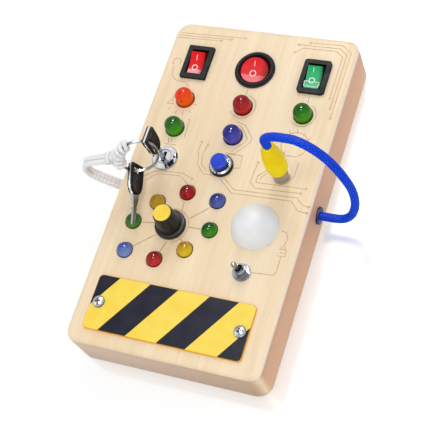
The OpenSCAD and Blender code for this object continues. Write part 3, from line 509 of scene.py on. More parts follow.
KNOT_AXIS = Vector((6, -0.2, 3.8)).normalized()
KNOT_TURNS, KNOT_STEPS = 2, 24
KNOT_START, KNOT_RISE = -0.6, 1.8           # along the axis, and for each turn
KNOT_A, KNOT_B, KNOT_STRAND_R = 3.0, 2.1, 0.95


def wrapped_knot():
    """Turns of cord that gather the two runs beside the ring; a colour attribute gives them strands, with
    painted shade between them and painted highlight on them.
    """
    side_a = KNOT_AXIS.cross(Vector((0, 0, 1))).normalized()
    side_b = KNOT_AXIS.cross(side_a)
    wrap = []
    for i in range(KNOT_TURNS * KNOT_STEPS + 1):
        a = 2 * math.pi * i / KNOT_STEPS
        wrap.append(KNOT_AT + KNOT_AXIS * (KNOT_RISE * i / KNOT_STEPS + KNOT_START)
                    + side_a * (KNOT_A * math.cos(a)) + side_b * (KNOT_B * math.sin(a)))
    bm = bmesh.new()
    plain_tube(bm, wrap, KNOT_STRAND_R, 14)
    knot = to_object("tether_knot", bm, "key", weave.material)
    # Strand pattern for the braid finish's painted shade and highlight
    tone = knot.data.color_attributes.new("braid", "FLOAT_COLOR", "POINT")
    for i, item in enumerate(tone.data):
        item.color = (0.6 + 0.4 * math.sin(i * 0.9), 0.5, 0.5, 1)
    return knot


tether_knot = wrapped_knot()


# ---------- wood ----------

def maple():
    """Pale wood grained along y, with a painted highlight on the rounded right edge, warm painted shade on
    the sides and painted shade on the ends.
    """
    f = Finish("maple", (240, 216, 178), 0.5, Specular_IOR_Level=0.3)
    broad = f.noise(f.scaled(70, 5, 55), 1.0, 3.0, 0.55, 0.6)
    streak = f.noise(f.scaled(520, 14, 380), 1.0, 4.0, 0.6, 0.3)
    pores = f.noise(f.scaled(2600, 110, 2600), 1.0, 2.0, 0.5)
    base = f.mix(f.span(broad, 0.3, 0.7), (247, 226, 191), (239, 212, 171))
    base = f.mix(f.span(streak, 0.42, 0.75, 0.0, 0.24), base, (216, 182, 136))
    base = f.mix(f.span(pores, 0.60, 0.74, 0.0, 0.16), base, (190, 150, 104))

    to_right, to_end, up = (f.axis(k, f.normal) for k in range(3))
    height = f.axis(2)
    # Painted highlight: faces that turn up and to the right, on the rounded right edge, go paler
    edge = f.times(f.span(to_right, 0.15, 0.6, 0.0, 0.75, True), f.span(up, 0.15, 0.5, 0.0, 1.0, True))
    base = f.mix(edge, base, (255, 238, 222))
    # Painted shade: the sides take a warm tone that darkens towards the top
    side = f.span(f.maths("ABSOLUTE", to_right), 0.82, 0.99, 0.0, 0.9, True)
    flank = f.mix(f.span(height, 0.0, FACE_Z * MM), (226, 174, 134), (208, 151, 115))
    base = f.mix(side, base, flank)
    # Painted shade: the front and back ends darken towards the right and towards the foot
    end = f.span(f.maths("ABSOLUTE", to_end), 0.6, 1.0, 0.0, 0.85, True)
    foot = f.mix(f.span(f.axis(0), -50 * MM, 50 * MM), (208, 181, 163), (178, 144, 114))
    foot = f.mix(f.span(height, 0.0, 18 * MM, 0.35, 0.0), foot, (150, 112, 86))
    f.to("Base Color", f.mix(end, base, foot))

    f.to("Roughness", f.span(streak, 0.3, 0.8, 0.42, 0.6))
    f.bump(f.maths("ADD", f.times(streak, 0.6), f.times(pores, 0.5)), 0.06, 0.35)
    return f


def plywood():
    f = Finish("plywood_back", (206, 172, 128), 0.62)
    rings = f.noise(f.scaled(45, 9, 45), 1.0, 5.0, 0.6, 1.4)
    lines = f.maths("FRACT", f.times(rings, 9.0))
    tone = f.mix(lines, (214, 182, 140), (190, 150, 104))
    pores = f.span(f.noise(f.scaled(1900, 70, 1900), 1.0, 2.0), 0.55, 0.75, 0.0, 0.4)
    f.to("Base Color", f.mix(pores, tone, (150, 110, 70)))
    f.bump(lines, 0.05, 0.3)
    return f


def burnt_line():
    f = Finish("burnt_line", (208, 172, 128), 0.7)
    f.tint((222, 190, 148), (196, 156, 112), 2.5)
    f.bump(f.grain(3.0), 0.04, 0.5)
    return f


dress(maple(), "wooden_body")
dress(plywood(), "back_panel")


# ---------- engraved lines: routes on the face, with a small dot at some ends ----------

LINE_LOW, LINE_HIGH = FACE_Z - 0.05, FACE_Z + 0.02
LINE_W, SPOKE_W = 0.5, 0.85
DOT_INNER, DOT_OUTER = 0.25, 0.75
TRACES = [
    [(-51.5, 92.5), (-12.5, 93.5)], [(-52.5, 90.8), (-20.5, 91.6)], [(-52.5, 89.2), (-26.5, 90)],
    [(27, 95.3), (45, 95.8), (51, 91.5), (50.4, 50.5)],
    [(20.5, 93.3), (44, 93.6), (48.8, 90), (48.6, 56.5)],
    [(19.5, 88.5), (23.5, 91.4), (42.5, 91.7), (46.8, 88.5), (46.6, 62.5)],
    [(-49, 69.5), (-48, 64), (-44.5, 61), (-38.5, 60.5), (-35.5, 58)],
    [(-0.5, 61), (-0.5, 57)], [(35.2, 62.2), (35.5, 57.3)],
    [(-36.2, 25.2), (-35.6, 21.4)], [(-34.6, 25.2), (-34, 21.4)], [(-37.5, 20.6), (-30.5, 20.8)],
    [(-29.3, 37.5), (-28, 37.5), (-27.5, 26.5)],
    [(-0.5, 40.2), (5, 39), (10.8, 32), (10.8, 28.8), (4, 20.8), (-1, 20.6)],
    [(1, 38.2), (3.4, 37.4), (8.2, 31.5), (8.2, 29.2), (2, 21.8)],
    [(-16.5, 24.5), (-16.8, 19), (-15.4, 16), (-14.8, 11.5), (-9.5, 6.4), (-4.5, 6.2)],
    [(-12.6, 23.5), (-13.6, 17), (-12.4, 12), (-8, 8)],
    [(0, 20.2), (9, 20.4), (9.8, 13), (5.6, 12.2)],
    [(0.5, 5.2), (9.6, -2.2), (43.5, -1.2), (48, -6), (53, -6.4)],
    [(3.2, 5.6), (10.5, 0), (45.8, 1.2), (50, -2.6), (53, -2.8)],
    [(24.5, 17), (24.5, 13.5), (21, 10), (21.2, 6.2), (48.5, 7)],
    [(26.3, 17.5), (26.3, 13), (23, 9.6), (23, 8.2)],
    [(18.8, 17.5), (18, 6), (21.5, 2.8), (46.5, 4)],
    [(40.8, 21.8), (40.6, 13), (39.2, 10.5)], [(31.4, 22.4), (31.4, 27)],
    [(-44.5, -2.2), (-38.5, 2.6), (-34.5, 4), (-21, 4.6), (-15, 2.4)],
    [(-41, -3.6), (-37, 0.8), (-33.5, 2.2), (-21.6, 2.8), (-15.6, -1.8)],
    [(34.2, -44), (45.5, -43.2), (47, -41), (46.8, -32.6)],
    [(46.6, -27), (47.6, -22.4), (46, -19), (43, -18.6)],
    [(44.6, -32.4), (48.8, -32.2), (48.6, -28.4), (44.6, -28.6)], [(45.4, -30.4), (48, -30.3)],
    [(45.6, -28.4), (45.6, -26.6)], [(47.6, -28.3), (47.6, -26.5)],
    [(-44.8, 45.8), (-40.6, 52.6)], [(-44.8, 45.8), (-40.8, 45.7)], [(-29, 47.4), (-26.6, 47)],
    [(-41.4, 43.8), (-43, 41.8)], [(-37.6, 42), (-38, 39.8)], [(-33.8, 42), (-33.2, 39.8)],
    [(-30.6, 43.6), (-29, 41.6)], [(30.2, 40), (31.2, 37.6)], [(34.8, 40.6), (35, 38.2)],
    [(39.4, 39.4), (38.8, 37.4)], [(43, 36.8), (41.6, 35)], [(31.8, 24.4), (38.6, 24.6)],
]
SPOKES = [
    [(-14.2, -17.6), (-14.6, -11.6)], [(-8.4, -20.6), (0.2, -13)], [(-7.4, -25.6), (-0.4, -25.5)],
    [(-9.4, -33), (-8.2, -34.4)], [(-16.8, -36), (-18.6, -42.4)], [(-24.4, -33.4), (-34.6, -42)],
    [(-27, -26.6), (-34.6, -27.6)], [(-22, -19.4), (-25.6, -15.8)],
]
# Centre, radius, start and end in degrees
ARCS = [
    (middle("led_red"), 7.3, -150, 80), (middle("led_green_right"), 7.2, -140, 60),
    (middle("led_orange"), 7.3, 100, 215), ((35.5, 31.5), 7.4, -60, 240), ((-48, 73), 2.4, -50, 230),
    (KNOB, 9.9, -70, 100),
]
DOTS = [
    (-12, 93.5), (-20, 91.6), (-26, 90), (26.6, 95.3), (20, 93.3), (19.2, 88), (50.4, 50), (48.6, 56),
    (46.6, 62), (-16.5, 25), (-12.4, 24), (24.5, 17.5), (18.8, 18), (49, 7), (47, 4), (-14.6, 2.2),
    (53.2, -6.4), (53.2, -2.8),
]


def engraved_lines():
    bm = bmesh.new()
    for route in TRACES:
        ribbon(bm, route, LINE_W, LINE_LOW, LINE_HIGH)
    for route in SPOKES:
        ribbon(bm, route, SPOKE_W, LINE_LOW, LINE_HIGH)
    for centre, radius, start, end in ARCS:
        ribbon(bm, arc(centre, radius, start, end, 40), LINE_W, LINE_LOW, LINE_HIGH)
    for centre in DOTS:
        washer(bm, centre, DOT_INNER, DOT_OUTER, LINE_LOW, LINE_HIGH, 20)
    return to_object("engraved_lines", bm, "board", burnt_line().material, smooth=False)


engraving = engraved_lines()


# ---------- plain plastics and metals ----------

black_f = plastic("black_plastic", (16, 17, 19), 0.38, 0.6, 0.03, Specular_IOR_Level=0.3)
bezel_f = plastic("bezel_plastic", (20, 21, 23), 0.55, 0.5, 0.04, Specular_IOR_Level=0.12)
gloss_black_f = plastic("polished_black", (9, 9, 11), 0.28, 2.0, 0.01, 8, Specular_IOR_Level=0.18)
grey_f = plastic("grey_plastic", (66, 67, 70), 0.5, 0.8, 0.04)
white_f = plastic("white_print", (246, 246, 244), 0.45, 1.0, 0.01, 4)
chrome_f = metal("chrome", (244, 245, 248), 0.1, (1, 1, 1), 0.004, 16)
nickel_f = metal("nickel", (204, 199, 191), 0.3, (0.4, 0.4, 2.4), 0.01, 46)
nickel_f.set("Metallic", 0.65)
steel_f = metal("steel", (168, 170, 175), 0.2, (2.5, 2.5, 0.5), 0.012, 60)
brass_f = metal("stamped_brass", (206, 170, 96), 0.3, (1.5, 0.4, 1.5), 0.01, 30)

dress(bezel_f, "left_switch", "right_switch", "round_switch")
dress(black_f, "knob", "button_housing", "socket")
dress(grey_f, "battery_tray", "battery_cover", "selector_switch")
dress(chrome_f, "lock_housing", "lock_rotor")
dress(nickel_f, "socket_nut", "plug_sleeve")
dress(steel_f, "back_screws", "board_screws", "selector_nut", "selector_shaft", "button_spring",
      "mounting_nuts", "battery_contacts", "key_ring", "toggle_switch", "toggle_lever")
dress(brass_f, "switch_terminals")
dress(plastic("lead_insulation", (150, 18, 20), 0.4, 0.8, 0.02), "battery_leads")
dress(plastic("grommet_rubber", (8, 20, 92), 0.5, 0.8, 0.03, 10), "cord_grommet")


def screw_head():
    """Bright head, with painted shade in the cross recess and at the head's foot."""
    f = Finish("screw_head", (200, 202, 206), 0.2, 1.0)
    scratch = f.grain(2.0)
    bright = f.mix(f.span(scratch, 0.35, 0.7), (214, 216, 220), (120, 122, 126))
    # Painted shade: near black below 2.05 mm over the face, in the recess and round the foot
    f.to("Base Color", f.mix(f.rise(2.05, 2.3), (22, 22, 24), bright))
    f.bump(scratch, 0.03, 0.5)
    return f


dress(screw_head(), "plate_screws")


# ---------- keys: a steel core between two black shells, a tapered neck and a narrow grooved blade ----------

# A key's own frame: x across its thickness, y across its head, z up from its shoulder
KEY_Z = 37.5                                # height of the first key's shoulder
KEY_HOLE = (-3.2, 13.8)                     # where the ring goes through the second key, as (y, z)
HEAD_EDGES = [(-6.8, 19), (3.8, 19), (3.8, 6.4), (1.7, 1.4), (-4.2, 0.6), (-6.8, 5)]
SLOTS = {"first": ((-4.7, 15.1), (1.5, 3.0)), "second": ((-3.1, 15.0), (3.1, 1.55))}
HEAD_SHARPNESS, SLOT_SHARPNESS = 14, 5      # powers of the rounded outlines
CORE_X, CORE_CHAMFER_X = 0.55, 0.42
SHELL_SECTION = ((0.5, 0.32), (1.2, 0.3), (1.5, 0.42), (1.68, 0.7), (1.72, 1.1), (1.72, 1.5), (1.56, 1.75))
SHELL_SLOT = ((1.56, 0.5), (1.4, 0.12), (0.5, 0.06))
# Neck and blade: height, half width, half thickness, half groove width and groove depth
BLADE_ROWS = [
    (4.2, 2.9, 0.5, 0.9, 0.05), (1.4, 2.75, 0.8, 0.9, 0.05), (0.4, 2.5, 0.85, 0.8, 0.1),
    (-2.5, 1.9, 0.75, 0.6, 0.1), (-6, 1.3, 0.62, 0.4, 0.1), (-6.2, 1.5, 0.8, 0.4, 0.02),
    (-6.9, 1.5, 0.8, 0.4, 0.02), (-7.1, 1.3, 0.6, 0.4, 0.25), (-14.6, 1.3, 0.6, 0.4, 0.25),
    (-15.4, 1.1, 0.5, 0.4, 0.1), (-16, 0.6, 0.3, 0.3, 0.05),
]
BLADE_Y = -1.3


def polar_loop(centre, reach, count=120):
    """Closed outline (y, z) round a centre; reach(dy, dz) gives its distance in a direction."""
    loop = []
    for k in range(count):
        a = 2 * math.pi * k / count
        dy, dz = math.cos(a), math.sin(a)
        r = reach(dy, dz)
        loop.append((centre[0] + r * dy, centre[1] + r * dz))
    return loop


def head_loop(slot, inset):
    """Outline of a key's head with rounded corners, seen from its slot's middle."""
    cy, cz = slot[0]
    sides = []
    for (y0, z0), (y1, z1) in zip(HEAD_EDGES, HEAD_EDGES[1:] + HEAD_EDGES[:1]):
        length = math.hypot(y1 - y0, z1 - z0)
        ny, nz = -(z1 - z0) / length, (y1 - y0) / length
        off = (y0 - cy) * ny + (z0 - cz) * nz
        sides.append((ny, nz, math.copysign(1, off), abs(off) - inset))

    def reach(dy, dz):
        total = 0.0
        for ny, nz, way, gap in sides:
            total += (max(0.0, (dy * ny + dz * nz) * way) / gap) ** HEAD_SHARPNESS
        return total ** (-1 / HEAD_SHARPNESS)

    return polar_loop(slot[0], reach)


def slot_loop(slot, grow):
    """Outline of a key's slot, a rectangle with rounded corners."""
    hy, hz = (half + grow for half in slot[1])

    def reach(dy, dz):
        return (abs(dy / hy) ** SLOT_SHARPNESS + abs(dz / hz) ** SLOT_SHARPNESS) ** (-1 / SLOT_SHARPNESS)

    return polar_loop(slot[0], reach)


def blade_row(z, half_w, half_t, groove, depth):
    side = [(half_t, -half_w), (half_t, -groove), (half_t - depth, -groove), (half_t - depth, groove),
            (half_t, groove), (half_t, half_w)]
    return [(x, y + BLADE_Y, z) for x, y in side] + [(-x, -y + BLADE_Y, z) for x, y in side]


def key_pieces(tag, body, place):
    """Core, shells and blade of one key; place moves them from the key's own frame."""
    slot = SLOTS[tag]

    def stacked(bm, rows):
        lofted(bm, [[(x, y, z) for y, z in loop] for x, loop in rows], ring=True)

    def placed(name, bm, finish, smooth):
        bmesh.ops.transform(bm, matrix=place, verts=bm.verts)
        return to_object(f"{tag}_key_{name}", bm, body, finish.material, smooth)

    bm = bmesh.new()
    outline = [(-CORE_X, 0.1), (-CORE_CHAMFER_X, 0), (CORE_CHAMFER_X, 0), (CORE_X, 0.1)]
    stacked(bm, [(x, head_loop(slot, inset)) for x, inset in outline]
            + [(x, slot_loop(slot, 0)) for x in (CORE_X, -CORE_X)])
    core = placed("core", bm, chrome_f, smooth=False)
    bm = bmesh.new()
    for s in (-1, 1):
        stacked(bm, [(s * x, head_loop(slot, inset)) for x, inset in SHELL_SECTION]
                + [(s * x, slot_loop(slot, grow)) for x, grow in SHELL_SLOT])
    head = placed("shells", bm, gloss_black_f, smooth=True)
    bm = bmesh.new()
    lofted(bm, [blade_row(*row) for row in BLADE_ROWS])
    blade = placed("bit", bm, steel_f, smooth=False)
    return head, blade


head, blade = key_pieces("first", "key", Matrix.Translation((*LOCK, KEY_Z)))
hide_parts("key_head")
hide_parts("key_blade")
SECOND_HOLE_AT = (LOCK[0] - 9.2, LOCK[1] - 16.2, FACE_Z + 11.5)
turn_x, turn_y, turn_z = (Matrix.Rotation(math.radians(a), 4, which) for a, which in
                          ((-84.5, "X"), (-18, "Y"), (13, "Z")))
second_place = (
    Matrix.Translation(SECOND_HOLE_AT) @ turn_z @ turn_y @ turn_x
    @ Matrix.Translation((0, -KEY_HOLE[0], -KEY_HOLE[1]))
)
head, blade = key_pieces("second", "second_key", second_place)
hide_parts("second_key_head")
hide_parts("second_key_blade")


# ---------- lock rosette: dark notches and thin dark rings on the bright steps ----------

# Stretches of the rosette's profile, as radius and height above the face
CONE = [(5.1, 3.05), (5.42, 3.05), (6.24, 1.84)]
STEP = [(6.26, 1.65), (7.04, 1.65)]
RIM = [(6.5, 1.65), (7.04, 1.65), (7.06, 1.05), (7.45, 1.05)]
# Middle and half width in degrees
NOTCHES = [
    (-33, 19, CONE), (-33, 15, STEP), (-64, 4, CONE), (-64, 4, STEP), (104, 5, CONE[1:]), (20, 15, RIM),
    (176, 9, STEP),
]
DARK_RINGS = [(4.2, 3.04), (7.15, 1.04)]
NOTCH_DEPTH, RING_DEPTH, RING_W = 0.3, 0.4, 0.25


def rosette_marks():
    bm = bmesh.new()
    for centre, half, top in NOTCHES:
        section = top + [(r, z - NOTCH_DEPTH) for r, z in reversed(top)]
        lines = [arc(LOCK, r, centre - half, centre + half, 8) for r, z in section]
        lofted(bm, [[(*p, FACE_Z + z) for p, (r, z) in zip(row, section)] for row in zip(*lines)])
    for radius, height in DARK_RINGS:
        top = FACE_Z + height
        washer(bm, LOCK, radius, radius + RING_W, top - RING_DEPTH, top, 96)
    return to_object("lock_marks", bm, "board", bezel_f.material, smooth=False)


lock_marks = rosette_marks()


# ---------- lamps ----------

# Painted light in the lenses: deep colour towards the light, bright colour where the light comes out
BIG_LEDS = [
    ("led_orange", (232, 50, 0), (255, 104, 6)), ("led_red", (142, 6, 18), (204, 44, 50)),
    ("led_green_right", (12, 92, 4), (72, 160, 20)), ("led_green_left", (8, 92, 6), (72, 160, 30)),
    ("led_violet", (36, 38, 132), (88, 84, 196)),
]
RING_LEDS = [
    ((120, 2, 10), (190, 24, 30)), ((34, 46, 122), (92, 110, 190)), ((10, 78, 4), (66, 150, 22)),
    ((180, 136, 0), (236, 204, 30)), ((136, 8, 14), (204, 50, 48)), ((56, 80, 158), (130, 158, 222)),
    ((26, 84, 12), (88, 144, 40)), ((166, 124, 0), (224, 184, 40)),
]
LIGHT_AHEAD = (0.62, -0.62, -0.45)          # the way the light goes through a lens
LENS_BACK, LENS_UP, LENS_REACH = 2.2, 4, 8.5
# Painted shadow: a dark ring on the face for the shade in the gap round each lamp, shifted so that it shows
# as a crescent below it: radii and shift
BIG_LED_SHADOW, RING_LED_SHADOW = (5.1, 5.5, 0.35, -0.4), (4.1, 4.42, 0.32, -0.36)


def lens(name, node, deep, bright):
    """Coloured lamp lens with painted light: deeper towards the light, and brighter on the far side, where
    the light coming through is painted.
    """
    f = Finish(name, deep, 0.07, Specular_IOR_Level=0.22, Subsurface_Weight=0.1)
    f.set("Subsurface Radius", (0.002, 0.002, 0.002))
    x, y = middle(node)
    # Painted light: brighter where the light that comes through the lens leaves it
    glow = f.along(LIGHT_AHEAD, (x - LENS_BACK, y + LENS_BACK, FACE_Z + LENS_UP), LENS_REACH)
    cloud = f.grain(0.5, 2.0)
    unevenness = f.maths("MULTIPLY_ADD", cloud, 0.24, -0.12)
    factor = f.maths("ADD", f.span(glow, 0.1, 1.0, 0.0, 0.9, True), unevenness, clamp=True)
    f.to("Base Color", f.mix(factor, deep, bright))
    f.bump(cloud, 0.02, 0.1)
    dress(f, node)


# Painted shadow: dark rings on the face round the lamps
def shadow_crescents(big_nodes, ring_nodes):
    bm = bmesh.new()
    for nodes, (inner, outer, right, up) in ((big_nodes, BIG_LED_SHADOW), (ring_nodes, RING_LED_SHADOW)):
        for x, y in map(middle, nodes):
            washer(bm, (x + right, y + up), inner, outer, LINE_LOW, LINE_HIGH + 0.01, 64)
    return to_object("lamp_shadow_crescents", bm, "board", black_f.material, smooth=False)


for node, deep, bright in BIG_LEDS:
    lens("lens_" + node, node, deep, bright)
for i, (deep, bright) in enumerate(RING_LEDS):
    lens(f"lens_ring_{i + 1}", f"ring_led_{i + 1}", deep, bright)
lamp_shadow_crescents = shadow_crescents([led[0] for led in BIG_LEDS], [f"ring_led_{i + 1}" for i in range(len(RING_LEDS))])


def milky():
    f = Finish("milky_diffuser", (236, 237, 239), 0.45, Specular_IOR_Level=0.3, Subsurface_Weight=0.3)
    f.set("Subsurface Radius", (0.006, 0.006, 0.006))
    f.tint((233, 234, 237), (240, 241, 242), 8.0)
    f.bump(f.grain(1.2, 2.0), 0.02, 0.15)
    return f


dress(milky(), "lamp_dome", "lamp_led")


# ---------- inside: cells and circuit board ----------

def cell_sleeve():
    """Green sleeve with a brass-coloured end."""
    f = Finish("cell_sleeve", (16, 74, 40), 0.3, Coat_Weight=0.4)
    sleeve = f.span(f.axis(0), -12 * MM, -11.8 * MM)
    f.to("Base Color", f.mix(sleeve, (176, 142, 62), (18, 76, 42)))
    f.wear(3.0, 0.22, 0.4)
    return f


def solder_mask():
    f = Finish("solder_mask", (16, 82, 44), 0.3, Coat_Weight=0.4)
    grid = f.node("TexBrick", Vector=f.scaled(160, 160, 160), Color1=srgb(14, 72, 38),
                  Color2=srgb(20, 92, 50), Mortar=srgb(70, 128, 70))
    f.to("Base Color", grid.outputs["Color"])
    f.bump(grid.outputs["Fac"], 0.03, 0.5)
    return f


dress(cell_sleeve(), "batteries")
dress(solder_mask(), "circuit_board")


# ---------- rocker caps ----------

ROCKER_TILT = math.radians(13)
ROCKER_AXIS_Z = FACE_Z - 2
# Radius of the hollow face, and the cap's height over its axis
RECT_CAP, ROUND_CAP = (15.33, 5.0), (19.21, 4.6)
HOLLOW_DEPTH = 1.4
MARK_LOW, MARK_HIGH = -0.1, 0.06            # against the cap's face
BAR_HALF, BAR_END, RING_MARK_W = 0.18, 0.1, 0.42
FRAME_MARK = [(-4.9, -2.2), (-4.6, -5.5), (-1, -5.55), (3.6, -5.5), (3.8, -2.2), (-0.8, -2.25)]
FRAME_MIDDLE, FRAME_OPENING = (-0.5, -3.9), (0.93, 0.86)


def rocker_finish(name, node, x, half, face, deep, pale, glare_band_y):
    """Bright face, painted shade on the flanks and down the right side, and a painted reflection as a pale
    band at the pressed end.
    """
    f = Finish(name, face, 0.3, Specular_IOR_Level=0.2)
    # Painted shade: surfaces that turn away from the cap's face take the deep colour
    facing = f.dot(f.normal, (0, -math.sin(ROCKER_TILT), math.cos(ROCKER_TILT)))
    drift = f.grain(0.6)
    bright = f.mix(f.span(drift, 0.35, 0.7, 0.0, 0.35), face, lighter(face, 36))
    # Painted reflection: a pale band across the pressed end
    band = ROCKER_Y + glare_band_y
    bright = f.mix(f.span(f.axis(1), (band + 0.5) * MM, (band - 0.6) * MM, 0.0, 0.85, True), bright, pale)
    # Painted shade down the right side of the face
    right_side_shade = f.span(f.axis(0), (x + 0.35 * half) * MM, (x + 0.85 * half) * MM, 0.0, 0.75, True)
    bright = f.mix(right_side_shade, bright, deep)
    f.to("Base Color", f.mix(f.span(facing, 0.72, 0.9, 0.0, 1.0, True), deep, bright))
    f.bump(drift, 0.02, 0.2)
    dress(f, node)


# For each cap, deep is the painted shade colour and pale the painted reflection colour
rocker_finish("red_rocker", "left_rocker", -COLUMN_X, 5.2,
              face=(232, 4, 10), deep=(112, 6, 12), pale=(255, 178, 184), glare_band_y=-4.6)
rocker_finish("red_round_rocker", "round_rocker", 0, 8.6,
              face=(232, 22, 30), deep=(120, 8, 16), pale=(250, 128, 134), glare_band_y=-3.4)
rocker_finish("green_rocker", "right_rocker", COLUMN_X, 5.6,
              face=(24, 176, 104), deep=(10, 24, 20), pale=(60, 196, 140), glare_band_y=-5.2)


def rocker_point(cap, cx, x, y, lift):
    """Point on a cap's hollow face: x and y in the cap's own frame, lift above the face."""
    cut, top = cap
    z = top - HOLLOW_DEPTH + cut - math.sqrt(cut * cut - y * y) + lift
    c, s = math.cos(ROCKER_TILT), math.sin(ROCKER_TILT)
    return Vector((cx + x, ROCKER_Y + y * c - z * s, ROCKER_AXIS_Z + y * s + z * c))


def marked(bm, cap, cx, inner, outer):
    """Adds a thin raised ring between two outlines that lie on a cap's face."""
    lofted(bm, [[rocker_point(cap, cx, *q, lift) for q, lift in
                 ((a, MARK_LOW), (a, MARK_HIGH), (b, MARK_HIGH), (b, MARK_LOW))]
                for a, b in zip(inner, outer)], ring=True)


def bar_outline(x, y0, y1, steps=8):
    left = [(x - BAR_HALF, y0 + (y1 - y0) * k / steps) for k in range(steps + 1)]
    return left + [(x + BAR_HALF, y) for _, y in reversed(left)]


def rocker_marks(name, body, cap, cx, x, bar, ring_y, radius, framed=False):
    """White bar and ring on a cap, and a small frame if it has one."""
    def circle(r):
        turns = [2 * math.pi * k / 32 for k in range(32)]
        return [(x + r * math.cos(a), ring_y + r * math.sin(a)) for a in turns]

    bm = bmesh.new()
    outline = bar_outline(x, *bar)
    marked(bm, cap, cx, [(x, min(max(y, bar[0] + BAR_END), bar[1] - BAR_END)) for _, y in outline], outline)
    marked(bm, cap, cx, circle(radius - RING_MARK_W), circle(radius))
    if framed:
        (mx, my), (sx, sy) = FRAME_MIDDLE, FRAME_OPENING
        inner = [(mx + (px - mx) * sx, my + (py - my) * sy) for px, py in FRAME_MARK]
        marked(bm, cap, cx, inner, FRAME_MARK)
    bmesh.ops.remove_doubles(bm, verts=bm.verts, dist=0.001)
    obj = to_object(name, bm, body, white_f.material, smooth=False)


rocker_marks("left_rocker_marks", "left_rocker", RECT_CAP, -COLUMN_X, -0.5, (1.7, 5.0), -2.6, 1.75)
rocker_marks("round_rocker_marks", "round_rocker", ROUND_CAP, 0, -0.5, (2.6, 5.4), -1.7, 1.9)
rocker_marks("right_rocker_marks", "right_rocker", RECT_CAP, COLUMN_X, -0.8, (2.9, 5.3), -1.7, 1.75, True)


# ---------- push button ----------

def button_blue():
    """Blue cap, with painted shade down its side and a painted highlight as a light line round its top edge.
    """
    f = plastic("royal_blue", (0, 54, 200), 0.28, 2.0, 0.01, 12, Specular_IOR_Level=0.2)
    # Painted highlight: a light line round the top edge
    edge_highlight = f.times(f.rise(5.9, 6.5), f.rise(6.95, 6.7))
    # Painted shade: the side darkens towards the bottom
    side = f.mix(f.rise(3, 6), (0, 20, 104), (0, 44, 178))
    tone = f.mix(f.rise(6.5, 6.9), side, (0, 58, 208))
    f.to("Base Color", f.mix(f.times(edge_highlight, 0.6), tone, (70, 124, 250)))
    return f


def button_ring():
    """Bright metal ring over a dark plastic foot."""
    f = Finish("button_ring", (210, 212, 216), 0.15)
    above = f.rise(1.84, 1.9)
    f.to("Base Color", f.mix(above, (14, 15, 18), (206, 209, 214)))
    f.to("Metallic", above)
    f.bump(f.grain(2.0), 0.006, 0.3)
    return f


dress(button_blue(), "button_cap")
dress(button_ring(), "button_bezel")

# Collar under the ring: radius and height above the face, with grooves cut in its widest part
COLLAR = [(5.95, 0), (6.66, 0), (6.7, 0.3), (6.52, 0.45), (6.68, 0.6), (6.66, 1.1), (6.4, 1.3), (6.5, 1.45),
          (6.3, 1.6), (5.95, 1.6)]
GROOVES, GROOVE_DEPTH, GROOVED_FROM = 48, 0.07, 6.6


def grooved(r, a):
    return r - (GROOVE_DEPTH if r > GROOVED_FROM and math.sin(GROOVES * a) > 0.2 else 0.0)


def button_collar():
    bm = bmesh.new()
    lathe(bm, [(r, FACE_Z + z) for r, z in COLLAR], BUTTON, 160, grooved)
    return to_object("button_collar", bm, "board", gloss_black_f.material)


collar = button_collar()


# ---------- knob insert and its pointer ----------

POINT_AT = math.radians(197)
INSERT_R, TIP_R = 4.75, 5.42
INSERT_LOW, INSERT_HIGH = 41.55, 41.86
TIP_OPENING = 42                            # degrees to each side of the tip
# The knob's flank, and the line that runs down it: its section is out from the flank, and across
FLANK_TOP_Z, FLANK_H = 41.1, 12.6
FLANK_TOP_R, FLANK_FOOT_R = 5.36, 6.75
STRIPE_TOP, STRIPE_H = 41.7, 12.2
STRIPE_SECTION = [(-0.25, -0.62), (0.1, -0.62), (0.1, 0.62), (-0.25, 0.62)]

insert_f = plastic("yellow_insert", (244, 206, 24), 0.35, 1.0, 0.015, 8)
dress(insert_f, "knob_insert")


def knob_pointer():
    """Drop-shaped plate on the insert, and the line below its tip."""
    tip = Vector((math.cos(POINT_AT), math.sin(POINT_AT), 0))
    across = Vector((-tip.y, tip.x, 0))
    centre = Vector((*KNOB, 0))
    outline = []
    for k in range(49):
        a = math.radians(TIP_OPENING + (360 - 2 * TIP_OPENING) * k / 48)
        outline.append(centre + (tip * math.cos(a) + across * math.sin(a)) * INSERT_R)
    outline.append(centre + tip * TIP_R)
    bm = bmesh.new()
    lofted(bm, [[p + Vector((0, 0, z)) for p in outline] for z in (INSERT_LOW, INSERT_HIGH)])
    rows = []
    for k in range(9):
        z = STRIPE_TOP - STRIPE_H * k / 8
        r = FLANK_TOP_R + (FLANK_FOOT_R - FLANK_TOP_R) * (FLANK_TOP_Z - min(z, FLANK_TOP_Z)) / FLANK_H
        rows.append([centre + tip * (r + d) + across * s + Vector((0, 0, z)) for d, s in STRIPE_SECTION])
    lofted(bm, rows)
    return to_object("knob_pointer", bm, "knob", insert_f.material, smooth=False)


pointer = knob_pointer()


# ---------- plug shell and striped plate ----------

def plug_yellow():
    """Yellow moulding with faint ribs round its upper part, drawn as stripes of painted shade."""
    f = Finish("plug_yellow", (255, 224, 4), 0.45, Specular_IOR_Level=0.15)
    # Painted shade: dark orange stripes where the ribs would be shaded
    rib = f.maths("SINE", f.times(f.axis(2), 2 * math.pi / (1.2 * MM)))
    rib_shade = f.times(f.rise(20, 24), f.span(rib, 0.0, 0.9, 0.0, 0.5))
    mottle = f.grain(0.4)
    tone = f.mix(f.span(mottle, 0.3, 0.7), (255, 230, 6), (255, 226, 2))
    f.to("Base Color", f.mix(rib_shade, tone, (214, 150, 0)))
    f.bump(mottle, 0.02, 0.2)
    return f


